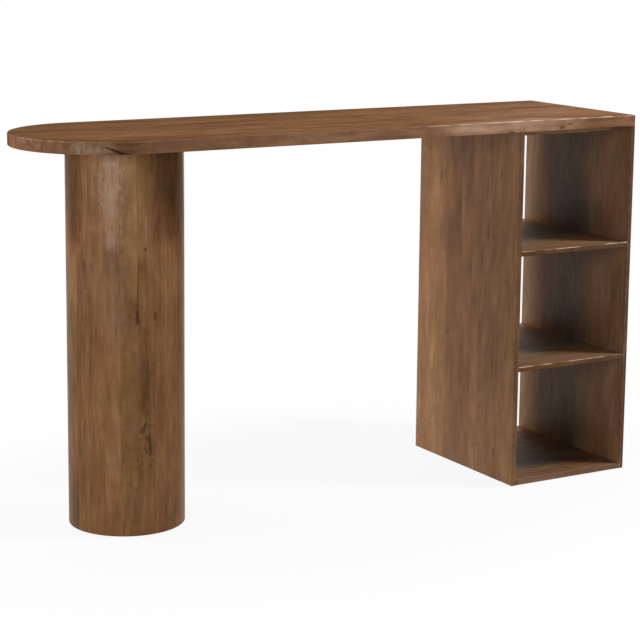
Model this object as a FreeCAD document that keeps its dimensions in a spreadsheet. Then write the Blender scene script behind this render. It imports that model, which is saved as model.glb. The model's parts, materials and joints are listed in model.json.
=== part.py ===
import FreeCAD, Part
import math
import os
import Sketcher

# Bar table: a board top on a coopered drum leg and an open shelf cabinet.
# X runs from the round end to the cabinet, the front is -Y, and the floor is Z = 0.

SIZES = {
    # Whole table, in millimetres
    "table_length": 1800,
    "table_width": 500,
    "table_height": 1050,
    # Height of the wooden legs' ends above the floor
    "floor_gap": 3,
    # Tabletop
    "top_thickness": 32,
    "top_edge_bevel": 1.2,
    # Boards of a glued panel: how many, and the widths whose ratio they keep as they fill the table's width
    "board_count": 7,
    "wide_board": 92,
    "narrow_board": 58,
    "medium_board": 74,
    # Drum leg: its axis lies this far from the round end
    "drum_setback": 305,
    "drum_diameter": 310,
    "drum_edge_round": 1.5,
    "drum_turn_degrees": 11,
    "stave_count": 22,
    "stave_thickness": 22,
    "disc_thickness": 18,
    "bottom_disc_height": 45,
    "drum_dowel_diameter": 10,
    "drum_dowel_length": 30,
    "drum_dowel_grip": 16,
    "drum_dowel_spread": 170,
    # Tie rod that pulls the drum up to the tabletop
    "rod_diameter": 10,
    "rod_grip": 20,
    "rod_tail": 4,
    "rod_insert_diameter": 16,
    "rod_insert_length": 22,
    "rod_washer_diameter": 40,
    "rod_washer_thickness": 3,
    "rod_nut_flats": 17,
    "rod_nut_height": 8,
    # Shelf cabinet
    "cabinet_width": 405,
    "panel_thickness": 14,
    "shelf_thickness": 14,
    "panel_edge_round": 1,
    "rail_thickness": 18,
    "rail_width": 80,
    "rail_setback": 70,
    # Dowels of the cabinet
    "dowel_diameter": 6,
    "dowel_length": 30,
    "panel_dowel_grip": 9,
    "shelf_dowel_spread": 150,
    "rail_dowel_spread": 26,
    "top_dowel_inset": 50,
    "top_dowel_spread": 80,
    "dowel_clearance": 0.05,
    "dowel_end_clearance": 0.5,
    # Bolts that hold the rails to the tabletop
    "bolt_diameter": 6,
    "bolt_grip": 12,
    "bolt_head_diameter": 11,
    "bolt_head_height": 4,
    "bolt_socket_flats": 4,
    "bolt_socket_depth": 2.5,
    "bolt_spread": 220,
    "bolt_washer_diameter": 16,
    "bolt_washer_thickness": 1.5,
    "bolt_insert_diameter": 10,
    "bolt_insert_length": 13,
    "hole_clearance": 0.5,
    "thread_clearance": 0.15,
    "insert_clearance": 0.05,
    "insert_end_clearance": 1,
    # Glides under the cabinet
    "glide_diameter": 20,
    "glide_inset": 10,
    "glide_edge_round": 1,
    "nail_diameter": 2.5,
    "nail_length": 10,
    "nail_head_diameter": 6,
    "nail_head_thickness": 1,
    "nail_recess": 1,
    # Levelling feet under the drum
    "leveler_count": 3,
    "leveler_circle": 180,
    "pad_diameter": 36,
    "pad_height": 8,
    "pad_rim": 4,
    "pad_socket_diameter": 12,
    "pad_socket_depth": 5,
    "swivel_clearance": 0.3,
    "stem_diameter": 8,
    "stem_length": 82,
    "stem_hex_flats": 13,
    "stem_hex_height": 6,
    "stem_hex_lift": 1,
    "tee_nut_diameter": 10.5,
    "tee_nut_length": 14,
    "tee_flange_diameter": 22,
    "tee_flange_thickness": 1.5,
}

# Cutting tools reach this far past the piece that they cut
OVERCUT = 10

doc = FreeCAD.newDocument("BarTable")
sheet = doc.addObject("Spreadsheet::Sheet", "Sizes")
for row, (size_name, size) in enumerate(SIZES.items(), start=1):
    sheet.set(f"A{row}", size_name)
    sheet.set(f"B{row}", str(size))
    sheet.setAlias(f"B{row}", size_name)
doc.recompute()

# Places that several pieces share
UNDERSIDE = "(Sizes.table_height - Sizes.top_thickness)"
HALF_WIDTH = "(Sizes.table_width / 2)"
RIGHT_END = "(Sizes.table_length / 2)"
DRUM_X = "(Sizes.drum_setback - Sizes.table_length / 2)"
STAVES = "round(Sizes.stave_count)"
CORE_FLATS = "(Sizes.drum_diameter - 2 * Sizes.stave_thickness)"
BOTTOM_DISC_TOP = "(Sizes.bottom_disc_height + Sizes.disc_thickness)"
CABINET_LEFT = f"({RIGHT_END} - Sizes.cabinet_width)"
CABINET_MIDDLE = f"({RIGHT_END} - Sizes.cabinet_width / 2)"
INNER_LEFT = f"({CABINET_LEFT} + Sizes.panel_thickness)"
INNER_RIGHT = f"({RIGHT_END} - Sizes.panel_thickness)"
INNER_WIDTH = "(Sizes.cabinet_width - 2 * Sizes.panel_thickness)"
LEG_HEIGHT = f"({UNDERSIDE} - Sizes.floor_gap)"
RAIL_BOTTOM = f"({UNDERSIDE} - Sizes.rail_thickness)"
RAIL_MIDDLE = f"({HALF_WIDTH} - Sizes.rail_setback - Sizes.rail_width / 2)"

# Three cubbies of equal height lie between the bottom panel and the rails
CUBBY_HEIGHT = f"(({RAIL_BOTTOM} - Sizes.floor_gap) / 3 - Sizes.shelf_thickness)"
LOWER_SHELF = f"(Sizes.floor_gap + Sizes.shelf_thickness + {CUBBY_HEIGHT})"
UPPER_SHELF = f"({LOWER_SHELF} + Sizes.shelf_thickness + {CUBBY_HEIGHT})"

nodes = []


def value(expression):
    """The number that an expression on the sheet gives."""
    return float(sheet.evalExpression(expression))


def node(piece, label):
    """Name a finished piece and keep it for writing."""
    piece.Label = label
    nodes.append(piece)


def place(piece, x="0", y="0", z="0"):
    """Bind where a piece stands to the sheet."""
    for axis, expression in (("x", x), ("y", y), ("z", z)):
        piece.setExpression(f"Placement.Base.{axis}", expression)


def new_sketch(body, role):
    """An empty sketch on one of a body's own origin planes."""
    sketch = body.newObject("Sketcher::SketchObject", f"{body.Name}_sketch")
    plane = [feature for feature in body.Origin.OriginFeatures if feature.Role == role][0]
    sketch.AttachmentSupport = [(plane, "")]
    sketch.MapMode = "FlatFace"
    return sketch


def drive(sketch, kind, geometry, expression):
    """Add one dimension to a sketch and bind it to the sheet."""
    index = sketch.addConstraint(Sketcher.Constraint(kind, *geometry, value(expression)))
    sketch.setExpression(f"Constraints[{index}]", expression)


def outline(sketch, corners):
    """A closed run of straight lines through corners given as pairs of expressions."""
    points = [FreeCAD.Vector(value(across), value(up), 0) for across, up in corners]
    count = len(points)
    for index in range(count):
        sketch.addGeometry(Part.LineSegment(points[index], points[(index + 1) % count]))
    for index, (across, up) in enumerate(corners):
        sketch.addConstraint(Sketcher.Constraint("Coincident", index, 2, (index + 1) % count, 1))
        for kind, axis, expression in (("DistanceX", -2, across), ("DistanceY", -1, up)):
            if expression == "0":
                sketch.addConstraint(Sketcher.Constraint("PointOnObject", index, 1, axis))
            else:
                drive(sketch, kind, (-1, 1, index, 1), expression)


def pad(body, sketch, length):
    """Raise a body's sketch to a solid."""
    feature = body.newObject("PartDesign::Pad", f"{body.Name}_pad")
    feature.Profile = sketch
    feature.setExpression("Length", length)
    sketch.Visibility = False
    doc.recompute()
    return feature


def edges_of(base, wanted):
    """The names of a feature's edges that pass a test."""
    return [f"Edge{number}" for number, edge in enumerate(base.Shape.Edges, start=1) if wanted(edge)]


def round_edges(body, base, wanted, radius):
    """Round the edges of a body that pass a test."""
    feature = body.newObject("PartDesign::Fillet", f"{body.Name}_round")
    feature.Base = (base, edges_of(base, wanted))
    feature.setExpression("Radius", radius)
    doc.recompute()


def bevel_edges(body, base, wanted, size):
    """Bevel the edges of a body that pass a test."""
    feature = body.newObject("PartDesign::Chamfer", f"{body.Name}_bevel")
    feature.Base = (base, edges_of(base, wanted))
    feature.setExpression("Size", size)
    doc.recompute()


def runs_along(edge, direction):
    """Whether an edge is straight and parallel to a direction."""
    start, end = edge.Vertexes[0].Point, edge.Vertexes[-1].Point
    return (end - start).Length > 0 and (end - start).cross(direction).Length < 1e-6


def turned(name, profile):
    """A body turned about Z from a profile of radius and height pairs."""
    body = doc.addObject("PartDesign::Body", name)
    sketch = new_sketch(body, "XZ_Plane")
    outline(sketch, profile)
    feature = body.newObject("PartDesign::Revolution", f"{name}_turning")
    feature.Profile = sketch
    feature.ReferenceAxis = (sketch, ["V_Axis"])
    feature.Angle = 360
    sketch.Visibility = False
    doc.recompute()
    return body


def block(name, length, width, height, eased):
    """A rectangular body whose long edges along one direction are eased."""
    body = doc.addObject("PartDesign::Body", name)
    sketch = new_sketch(body, "XY_Plane")
    outline(sketch, [("0", "0"), (length, "0"), (length, width), ("0", width)])
    solid = pad(body, sketch, height)
    round_edges(body, solid, lambda edge: runs_along(edge, eased), "Sizes.panel_edge_round")
    return body


def cylinder(name, diameter, length, x, y, z, axis="z"):
    """A round rod that starts at a point and runs along Z, or along X."""
    rod = doc.addObject("Part::Cylinder", name)
    rod.setExpression("Radius", f"({diameter}) / 2")
    rod.setExpression("Height", length)
    if axis == "x":
        rod.Placement.Rotation = FreeCAD.Rotation(FreeCAD.Vector(0, 1, 0), 90)
    place(rod, x, y, z)
    return rod


def prism(name, sides, flats, height):
    """An upright prism, measured across its flats."""
    solid = doc.addObject("Part::Prism", name)
    solid.setExpression("Polygon", sides)
    solid.setExpression("Circumradius", f"({flats}) / 2 / cos(180 deg / {sides})")
    solid.setExpression("Height", height)
    return solid


def group(name, pieces):
    """Several separate solids as one object."""
    compound = doc.addObject("Part::Compound", name)
    compound.Links = pieces
    return compound


def cut(name, base, tool):
    """A piece with the tool's shape taken out of it."""
    result = doc.addObject("Part::Cut", name)
    result.Base = base
    result.Tool = tool
    return result


def common(name, base, tool):
    """What a piece and a tool share."""
    result = doc.addObject("Part::Common", name)
    result.Base = base
    result.Tool = tool
    return result


def fuse(name, base, tool):
    """Two shapes that are one solid on the real piece."""
    result = doc.addObject("Part::Fuse", name)
    result.Base = base
    result.Tool = tool
    return result


# Places of the fasteners, each a pair of expressions, or three where it starts at a height of its own

BOTH_SIDES = ("-", "")
BOTH_WAYS = ("-", "+")
TOP_DOWEL_START = f"{UNDERSIDE} - Sizes.dowel_length / 2"
DRUM_DOWEL_START = f"{UNDERSIDE} + Sizes.drum_dowel_grip - Sizes.drum_dowel_length"
CROSS_DOWEL_STARTS = (
    f"{INNER_LEFT} - Sizes.panel_dowel_grip",
    f"{INNER_RIGHT} + Sizes.panel_dowel_grip - Sizes.dowel_length",
)

top_dowel_starts = [
    (x, f"{side}({spread})", TOP_DOWEL_START)
    for x in (f"{CABINET_LEFT} + Sizes.panel_thickness / 2", f"{RIGHT_END} - Sizes.panel_thickness / 2")
    for side in BOTH_SIDES
    for spread in ("Sizes.top_dowel_spread", f"{HALF_WIDTH} - Sizes.top_dowel_inset")
]

shelf_dowel_starts = [
    (x, y, f"{bottom} + Sizes.shelf_thickness / 2")
    for x in CROSS_DOWEL_STARTS
    for bottom in ("Sizes.floor_gap", LOWER_SHELF, UPPER_SHELF)
    for y in ("-Sizes.shelf_dowel_spread", "0", "Sizes.shelf_dowel_spread")
]

rail_dowel_starts = [
    (x, f"{side}{RAIL_MIDDLE} {way} Sizes.rail_dowel_spread", f"{RAIL_BOTTOM} + Sizes.rail_thickness / 2")
    for x in CROSS_DOWEL_STARTS
    for side in BOTH_SIDES
    for way in BOTH_WAYS
]

drum_dowel_starts = [
    (f"{DRUM_X} {way} Sizes.drum_dowel_spread / 2", "0", DRUM_DOWEL_START) for way in BOTH_WAYS
]

bolt_places = [
    (f"{CABINET_MIDDLE} {way} Sizes.bolt_spread / 2", f"{side}{RAIL_MIDDLE}")
    for side in BOTH_SIDES
    for way in BOTH_WAYS
]

glide_places = [
    (x, f"{side}({HALF_WIDTH} - Sizes.panel_thickness - Sizes.glide_inset)")
    for x in (f"{INNER_LEFT} + Sizes.glide_inset", f"{INNER_RIGHT} - Sizes.glide_inset")
    for side in BOTH_SIDES
]

LEVELERS = "round(Sizes.leveler_count)"
leveler_places = [
    (
        f"{DRUM_X} + Sizes.leveler_circle / 2 * cos({number} * 360 deg / {LEVELERS})",
        f"Sizes.leveler_circle / 2 * sin({number} * 360 deg / {LEVELERS})",
    )
    for number in range(round(value(LEVELERS)))
]


# Dowels, and the holes that take them


def dowels(name, diameter, length, starts, axis):
    """Dowels that run along one axis from their starting points. Gives the holes for them."""
    pegs = []
    holes = []
    hole_diameter = f"{diameter} + 2 * Sizes.dowel_clearance"
    hole_length = f"{length} + 2 * Sizes.dowel_end_clearance"
    for number, (x, y, z) in enumerate(starts, start=1):
        pegs.append(cylinder(f"{name}_{number}", diameter, length, x, y, z, axis))
        if axis == "x":
            x = f"{x} - Sizes.dowel_end_clearance"
        else:
            z = f"{z} - Sizes.dowel_end_clearance"
        holes.append(cylinder(f"{name}_hole_{number}", hole_diameter, hole_length, x, y, z, axis))
    node(group(name, pegs), name)
    return holes


cabinet_dowel = ("Sizes.dowel_diameter", "Sizes.dowel_length")
drum_dowel = ("Sizes.drum_dowel_diameter", "Sizes.drum_dowel_length")
top_dowel_holes = dowels("top_dowels", *cabinet_dowel, top_dowel_starts, "z")
shelf_dowel_holes = dowels("shelf_dowels", *cabinet_dowel, shelf_dowel_starts, "x")
rail_dowel_holes = dowels("rail_dowels", *cabinet_dowel, rail_dowel_starts, "x")
drum_dowel_holes = dowels("drum_dowels", *drum_dowel, drum_dowel_starts, "z")


# Threaded inserts in the tabletop, bolts and washers under the rails, and the tie rod


def ring(name, outside, bore, height):
    """A plain turned ring."""
    inner = f"({bore}) / 2"
    outer = f"({outside}) / 2"
    return turned(name, [(inner, "0"), (outer, "0"), (outer, height), (inner, height)])


def insert_hole(name, diameter, length, x, y):
    """The hole in the tabletop that a threaded insert is driven into."""
    hole_diameter = f"{diameter} + 2 * Sizes.insert_clearance"
    return cylinder(name, hole_diameter, f"{length} + Sizes.insert_end_clearance", x, y, UNDERSIDE)


BOLT_SEAT = f"({RAIL_BOTTOM} - Sizes.bolt_washer_thickness)"
BOLT_HOLE = "Sizes.bolt_diameter + 2 * Sizes.hole_clearance"


def rail_bolt(name):
    """A round-headed bolt with a hexagon socket, its head downwards."""
    shank = "Sizes.bolt_diameter / 2"
    head = "Sizes.bolt_head_diameter / 2"
    length = f"{UNDERSIDE} + Sizes.bolt_grip - {BOLT_SEAT} + Sizes.bolt_head_height"
    profile = [
        ("0", "0"),
        (head, "0"),
        (head, "Sizes.bolt_head_height"),
        (shank, "Sizes.bolt_head_height"),
        (shank, length),
        ("0", length),
    ]
    socket = prism(f"{name}_socket", "6", "Sizes.bolt_socket_flats", "Sizes.bolt_socket_depth")
    return cut(name, turned(f"{name}_blank", profile), socket)


BOLT_THREAD = "Sizes.bolt_diameter + 2 * Sizes.thread_clearance"
bolt_washer = ("Sizes.bolt_washer_diameter", BOLT_HOLE, "Sizes.bolt_washer_thickness")
bolt_insert = ("Sizes.bolt_insert_diameter", BOLT_THREAD, "Sizes.bolt_insert_length")
insert_size = ("Sizes.bolt_insert_diameter", "Sizes.bolt_insert_length")
bolts = []
bolt_washers = []
bolt_inserts = []
bolt_insert_holes = []
bolt_holes = []
for number, (x, y) in enumerate(bolt_places, start=1):
    bolt = rail_bolt(f"rail_bolt_{number}")
    place(bolt, x, y, f"{BOLT_SEAT} - Sizes.bolt_head_height")
    bolts.append(bolt)
    washer = ring(f"rail_washer_{number}", *bolt_washer)
    place(washer, x, y, BOLT_SEAT)
    bolt_washers.append(washer)
    insert = ring(f"rail_insert_{number}", *bolt_insert)
    place(insert, x, y, UNDERSIDE)
    bolt_inserts.append(insert)
    bolt_insert_holes.append(insert_hole(f"insert_hole_{number}", *insert_size, x, y))
    hole = cylinder(f"bolt_hole_{number}", BOLT_HOLE, "Sizes.rail_thickness", x, y, RAIL_BOTTOM)
    bolt_holes.append(hole)
node(group("rail_bolts", bolts), "rail_bolts")
node(group("rail_washers", bolt_washers), "rail_washers")
node(group("rail_inserts", bolt_inserts), "rail_inserts")

ROD_HOLE = "Sizes.rod_diameter + 2 * Sizes.hole_clearance"
ROD_THREAD = "Sizes.rod_diameter + 2 * Sizes.thread_clearance"
ROD_WASHER = "(Sizes.bottom_disc_height - Sizes.rod_washer_thickness)"
ROD_NUT = f"({ROD_WASHER} - Sizes.rod_nut_height)"
ROD_FOOT = f"({ROD_NUT} - Sizes.rod_tail)"

rod_length = f"{UNDERSIDE} + Sizes.rod_grip - {ROD_FOOT}"
node(cylinder("tie_rod", "Sizes.rod_diameter", rod_length, DRUM_X, "0", ROD_FOOT), "tie_rod")

rod_insert = ring("rod_insert", "Sizes.rod_insert_diameter", ROD_THREAD, "Sizes.rod_insert_length")
place(rod_insert, DRUM_X, "0", UNDERSIDE)
node(rod_insert, "rod_insert")
rod_insert_hole = insert_hole(
    "rod_insert_hole", "Sizes.rod_insert_diameter", "Sizes.rod_insert_length", DRUM_X, "0"
)

rod_washer = ring("rod_washer", "Sizes.rod_washer_diameter", ROD_HOLE, "Sizes.rod_washer_thickness")
place(rod_washer, DRUM_X, "0", ROD_WASHER)
node(rod_washer, "rod_washer")

nut_blank = prism("rod_nut_blank", "6", "Sizes.rod_nut_flats", "Sizes.rod_nut_height")
nut_bore = cylinder("rod_nut_bore", ROD_THREAD, "Sizes.rod_nut_height", "0", "0", "0")
rod_nut = cut("rod_nut", nut_blank, nut_bore)
place(rod_nut, DRUM_X, "0", ROD_NUT)
node(rod_nut, "rod_nut")


# Glued panels: each blank is cut into boards side by side across the table's width

BOARD_CYCLE = ("Sizes.wide_board", "Sizes.narrow_board", "Sizes.medium_board")


def board_widths(first):
    """The widths of the boards across the table in order, which together fill its width."""
    count = round(value("Sizes.board_count"))
    stock = [BOARD_CYCLE[(first + number) % len(BOARD_CYCLE)] for number in range(count)]
    total = " + ".join(stock)
    return [f"Sizes.table_width * {width} / ({total})" for width in stock]


def board_slabs(first):
    """Tall slabs, one for each board, that cut a panel blank along its glue lines."""
    slabs = []
    widths = board_widths(first)
    last = len(widths) - 1
    for number, width in enumerate(widths):
        slab = doc.addObject("Part::Box", f"slab_{first}_{number}")
        before = " + ".join([f"-{HALF_WIDTH}"] + widths[:number])
        front_reach = OVERCUT if number == 0 else 0
        back_reach = OVERCUT if number == last else 0
        slab.setExpression("Length", f"Sizes.table_length + {2 * OVERCUT}")
        slab.setExpression("Width", f"{width} + {front_reach + back_reach}")
        slab.setExpression("Height", f"Sizes.table_height + {2 * OVERCUT}")
        place(slab, f"-{RIGHT_END} - {OVERCUT}", f"{before} - {front_reach}", f"-{OVERCUT}")
        slabs.append(slab)
    return slabs


layouts = [board_slabs(first) for first in range(len(BOARD_CYCLE))]


def boards_of(name, blank, holes, layout):
    """A blank with its holes, cut into the boards that it is glued up from."""
    drilled = cut(f"{name}_drilled", blank, holes)
    slabs = enumerate(layouts[layout], start=1)
    return [common(f"{name}_board_{number}", drilled, slab) for number, slab in slabs]


# Tabletop: straight at the cabinet's end, and a half circle at the drum's


def top_blank():
    """The whole top as a slab with a half-round end and bevelled rims."""
    body = doc.addObject("PartDesign::Body", "top_blank")
    sketch = new_sketch(body, "XY_Plane")
    half = value(HALF_WIDTH)
    straight = f"Sizes.table_length - {HALF_WIDTH}"
    reach = value(straight)
    middle = FreeCAD.Vector(0, 0, 0)
    upwards = FreeCAD.Vector(0, 0, 1)
    sketch.addGeometry(Part.LineSegment(FreeCAD.Vector(reach, -half, 0), FreeCAD.Vector(0, -half, 0)))
    sketch.addGeometry(Part.ArcOfCircle(Part.Circle(middle, upwards, half), math.pi / 2, 3 * math.pi / 2))
    sketch.addGeometry(Part.LineSegment(FreeCAD.Vector(0, half, 0), FreeCAD.Vector(reach, half, 0)))
    sketch.addGeometry(Part.LineSegment(FreeCAD.Vector(reach, half, 0), FreeCAD.Vector(reach, -half, 0)))
    front, arc, back, end = range(4)
    sketch.addConstraint(Sketcher.Constraint("Tangent", front, 2, arc, 2))
    sketch.addConstraint(Sketcher.Constraint("Tangent", arc, 1, back, 1))
    sketch.addConstraint(Sketcher.Constraint("Coincident", back, 2, end, 1))
    sketch.addConstraint(Sketcher.Constraint("Coincident", end, 2, front, 1))
    sketch.addConstraint(Sketcher.Constraint("Horizontal", front))
    sketch.addConstraint(Sketcher.Constraint("Horizontal", back))
    sketch.addConstraint(Sketcher.Constraint("Vertical", end))
    sketch.addConstraint(Sketcher.Constraint("Coincident", arc, 3, -1, 1))
    drive(sketch, "Radius", (arc,), HALF_WIDTH)
    drive(sketch, "DistanceX", (-1, 1, end, 1), straight)
    slab = pad(body, sketch, "Sizes.top_thickness")

    def sharp(edge):
        """Every edge but the two upright ones where the half circle runs into the straight sides."""
        return not runs_along(edge, upwards) or edge.Vertexes[0].X > reach / 2

    bevel_edges(body, slab, sharp, "Sizes.top_edge_bevel")
    place(body, f"{HALF_WIDTH} - {RIGHT_END}", "0", UNDERSIDE)
    return body


top_holes = group(
    "top_holes", top_dowel_holes + drum_dowel_holes + bolt_insert_holes + [rod_insert_hole]
)
for number, board in enumerate(boards_of("top", top_blank(), top_holes, 0), start=1):
    node(board, f"top_board_{number}")


# Drum leg: tapered staves glued around three discs

drum_blank = doc.addObject("PartDesign::Body", "drum_blank")
drum_sketch = new_sketch(drum_blank, "XY_Plane")
drum_sketch.addGeometry(
    Part.Circle(FreeCAD.Vector(0, 0, 0), FreeCAD.Vector(0, 0, 1), value("Sizes.drum_diameter / 2"))
)
drum_sketch.addConstraint(Sketcher.Constraint("Coincident", 0, 3, -1, 1))
drive(drum_sketch, "Radius", (0,), "Sizes.drum_diameter / 2")
drum_pad = pad(drum_blank, drum_sketch, LEG_HEIGHT)
round_edges(drum_blank, drum_pad, lambda edge: len(edge.Vertexes) == 1, "Sizes.drum_edge_round")
place(drum_blank, DRUM_X, "0", "Sizes.floor_gap")


def drum_prism(name, height, z):
    """A prism with one flat for each stave, about the drum's axis."""
    solid = prism(name, STAVES, CORE_FLATS, height)
    solid.setExpression("Placement.Rotation.Angle", "Sizes.drum_turn_degrees")
    place(solid, DRUM_X, "0", z)
    return solid


drum_hollow = drum_prism("drum_hollow", f"{LEG_HEIGHT} + {2 * OVERCUT}", f"Sizes.floor_gap - {OVERCUT}")
drum_shell = cut("drum_shell", drum_blank, drum_hollow)
for number in range(round(value(STAVES))):
    wedge = doc.addObject("Part::Cylinder", f"wedge_{number + 1}")
    wedge.setExpression("Radius", "Sizes.drum_diameter")
    wedge.setExpression("Height", f"{LEG_HEIGHT} + {2 * OVERCUT}")
    wedge.setExpression("Angle", f"360 / {STAVES}")
    wedge.setExpression("Placement.Rotation.Angle", f"Sizes.drum_turn_degrees + {number} * 360 / {STAVES}")
    place(wedge, DRUM_X, "0", f"Sizes.floor_gap - {OVERCUT}")
    stave = common(f"stave_{number + 1}", drum_shell, wedge)
    node(stave, f"drum_stave_{number + 1:02d}")

rod_hole = cylinder("rod_hole", ROD_HOLE, UNDERSIDE, DRUM_X, "0", "0")
tee_nut_holes = [
    cylinder(
        f"tee_nut_hole_{number}",
        "Sizes.tee_nut_diameter + 2 * Sizes.insert_clearance",
        "Sizes.disc_thickness",
        x,
        y,
        "Sizes.bottom_disc_height",
    )
    for number, (x, y) in enumerate(leveler_places, start=1)
]
disc_holes = group("disc_holes", [rod_hole] + drum_dowel_holes + tee_nut_holes)
disc_heights = {
    "drum_top_disc": f"{UNDERSIDE} - Sizes.disc_thickness",
    "drum_middle_disc": f"(Sizes.bottom_disc_height + {UNDERSIDE} - Sizes.disc_thickness) / 2",
    "drum_bottom_disc": "Sizes.bottom_disc_height",
}
for disc_name, z in disc_heights.items():
    disc = drum_prism(f"{disc_name}_blank", "Sizes.disc_thickness", z)
    node(cut(disc_name, disc, disc_holes), disc_name)


# Shelf cabinet, open at the front and at the back


def glide_and_nail(name, x, y):
    """A nylon glide under the bottom panel and the nail that holds it."""
    outer = "Sizes.glide_diameter / 2"
    recess = "Sizes.nail_head_diameter / 2 + Sizes.hole_clearance"
    shank = "Sizes.nail_diameter / 2"
    bore = f"{shank} + Sizes.thread_clearance"
    head_top = "(Sizes.nail_recess + Sizes.nail_head_thickness)"
    glide = turned(
        f"{name}_glide",
        [
            (recess, "0"),
            (f"{outer} - Sizes.glide_edge_round", "0"),
            (outer, "Sizes.glide_edge_round"),
            (outer, "Sizes.floor_gap"),
            (bore, "Sizes.floor_gap"),
            (bore, head_top),
            (recess, head_top),
        ],
    )
    place(glide, x, y)
    nail_top = f"Sizes.nail_head_thickness + Sizes.floor_gap - {head_top} + Sizes.nail_length"
    nail = turned(
        f"{name}_nail",
        [
            ("0", "0"),
            ("Sizes.nail_head_diameter / 2", "0"),
            ("Sizes.nail_head_diameter / 2", "Sizes.nail_head_thickness"),
            (shank, "Sizes.nail_head_thickness"),
            (shank, nail_top),
            ("0", nail_top),
        ],
    )
    place(nail, x, y, "Sizes.nail_recess")
    return glide, nail


glides = []
nails = []
nail_holes = []
for number, (x, y) in enumerate(glide_places, start=1):
    glide, nail = glide_and_nail(f"corner_{number}", x, y)
    glides.append(glide)
    nails.append(nail)
    nail_hole_diameter = "Sizes.nail_diameter + 2 * Sizes.insert_clearance"
    nail_hole_length = "Sizes.nail_length + Sizes.dowel_end_clearance"
    nail_holes.append(
        cylinder(f"nail_hole_{number}", nail_hole_diameter, nail_hole_length, x, y, "Sizes.floor_gap")
    )
node(group("cabinet_glides", glides), "cabinet_glides")
node(group("glide_nails", nails), "glide_nails")

panel_holes = group("panel_holes", top_dowel_holes + shelf_dowel_holes + rail_dowel_holes)
shelf_holes = group("shelf_holes", shelf_dowel_holes + nail_holes)
rail_holes = group("rail_holes", rail_dowel_holes + bolt_holes)

UPRIGHT = FreeCAD.Vector(0, 0, 1)
ACROSS = FreeCAD.Vector(1, 0, 0)

side_panels = {
    "left_side_panel": (CABINET_LEFT, 1),
    "right_side_panel": (INNER_RIGHT, 2),
}
for panel_name, (x, layout) in side_panels.items():
    blank = block(f"{panel_name}_blank", "Sizes.panel_thickness", "Sizes.table_width", LEG_HEIGHT, UPRIGHT)
    place(blank, x, f"-{HALF_WIDTH}", "Sizes.floor_gap")
    node(group(panel_name, boards_of(panel_name, blank, panel_holes, layout)), panel_name)

shelves = {
    "bottom_panel": ("Sizes.floor_gap", 0),
    "lower_shelf": (LOWER_SHELF, 1),
    "upper_shelf": (UPPER_SHELF, 2),
}
for shelf_name, (z, layout) in shelves.items():
    blank = block(f"{shelf_name}_blank", INNER_WIDTH, "Sizes.table_width", "Sizes.shelf_thickness", ACROSS)
    place(blank, INNER_LEFT, f"-{HALF_WIDTH}", z)
    node(group(shelf_name, boards_of(shelf_name, blank, shelf_holes, layout)), shelf_name)

rails = {"front_top_rail": "-", "back_top_rail": ""}
for rail_name, side in rails.items():
    blank = block(f"{rail_name}_blank", INNER_WIDTH, "Sizes.rail_width", "Sizes.rail_thickness", ACROSS)
    place(blank, INNER_LEFT, f"{side}{RAIL_MIDDLE} - Sizes.rail_width / 2", RAIL_BOTTOM)
    node(cut(rail_name, blank, rail_holes), rail_name)


# Levelling feet under the drum, each screwed into a tee nut in the bottom disc

SOCKET_FLOOR = "(Sizes.pad_height - Sizes.pad_socket_depth)"
STEM_FOOT = f"({SOCKET_FLOOR} + Sizes.swivel_clearance)"
HEX_BOTTOM = f"(Sizes.pad_height + Sizes.stem_hex_lift - {STEM_FOOT})"


def leveler_pad(name):
    """A nylon pad with a sloping top and a socket for the stem's foot."""
    socket = "Sizes.pad_socket_diameter / 2"
    collar = f"{socket} + Sizes.pad_rim"
    rim = "Sizes.pad_diameter / 2"
    return turned(
        name,
        [
            ("0", "0"),
            (rim, "0"),
            (rim, "Sizes.pad_rim"),
            (collar, "Sizes.pad_height"),
            (socket, "Sizes.pad_height"),
            (socket, SOCKET_FLOOR),
            ("0", SOCKET_FLOOR),
        ],
    )


def leveler_stem(name):
    """A threaded stem with a hexagon to turn it by and a foot that swivels in the pad."""
    foot = "Sizes.pad_socket_diameter / 2 - Sizes.swivel_clearance"
    thread = "Sizes.stem_diameter / 2"
    turning = turned(
        f"{name}_turning",
        [
            ("0", "0"),
            (foot, "0"),
            (foot, HEX_BOTTOM),
            (thread, HEX_BOTTOM),
            (thread, "Sizes.stem_length"),
            ("0", "Sizes.stem_length"),
        ],
    )
    hexagon = prism(f"{name}_hexagon", "6", "Sizes.stem_hex_flats", "Sizes.stem_hex_height")
    place(hexagon, z=HEX_BOTTOM)
    return fuse(name, turning, hexagon)


def tee_nut(name):
    """A flanged nut pressed down into the disc from above."""
    bore = "Sizes.stem_diameter / 2 + Sizes.thread_clearance"
    barrel = "Sizes.tee_nut_diameter / 2"
    flange = "Sizes.tee_flange_diameter / 2"
    flange_top = "Sizes.tee_nut_length + Sizes.tee_flange_thickness"
    return turned(
        name,
        [
            (bore, "0"),
            (barrel, "0"),
            (barrel, "Sizes.tee_nut_length"),
            (flange, "Sizes.tee_nut_length"),
            (flange, flange_top),
            (bore, flange_top),
        ],
    )


tee_nuts = []
for number, (x, y) in enumerate(leveler_places, start=1):
    pad_piece = leveler_pad(f"leveler_pad_{number}")
    place(pad_piece, x, y)
    node(pad_piece, f"leveler_pad_{number}")
    stem = leveler_stem(f"leveler_stem_{number}")
    place(stem, x, y, STEM_FOOT)
    node(stem, f"leveler_stem_{number}")
    nut = tee_nut(f"tee_nut_{number}")
    place(nut, x, y, f"{BOTTOM_DISC_TOP} - Sizes.tee_nut_length")
    tee_nuts.append(nut)
node(group("tee_nuts", tee_nuts), "tee_nuts")


# Every object has to be sound before anything is written

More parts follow.
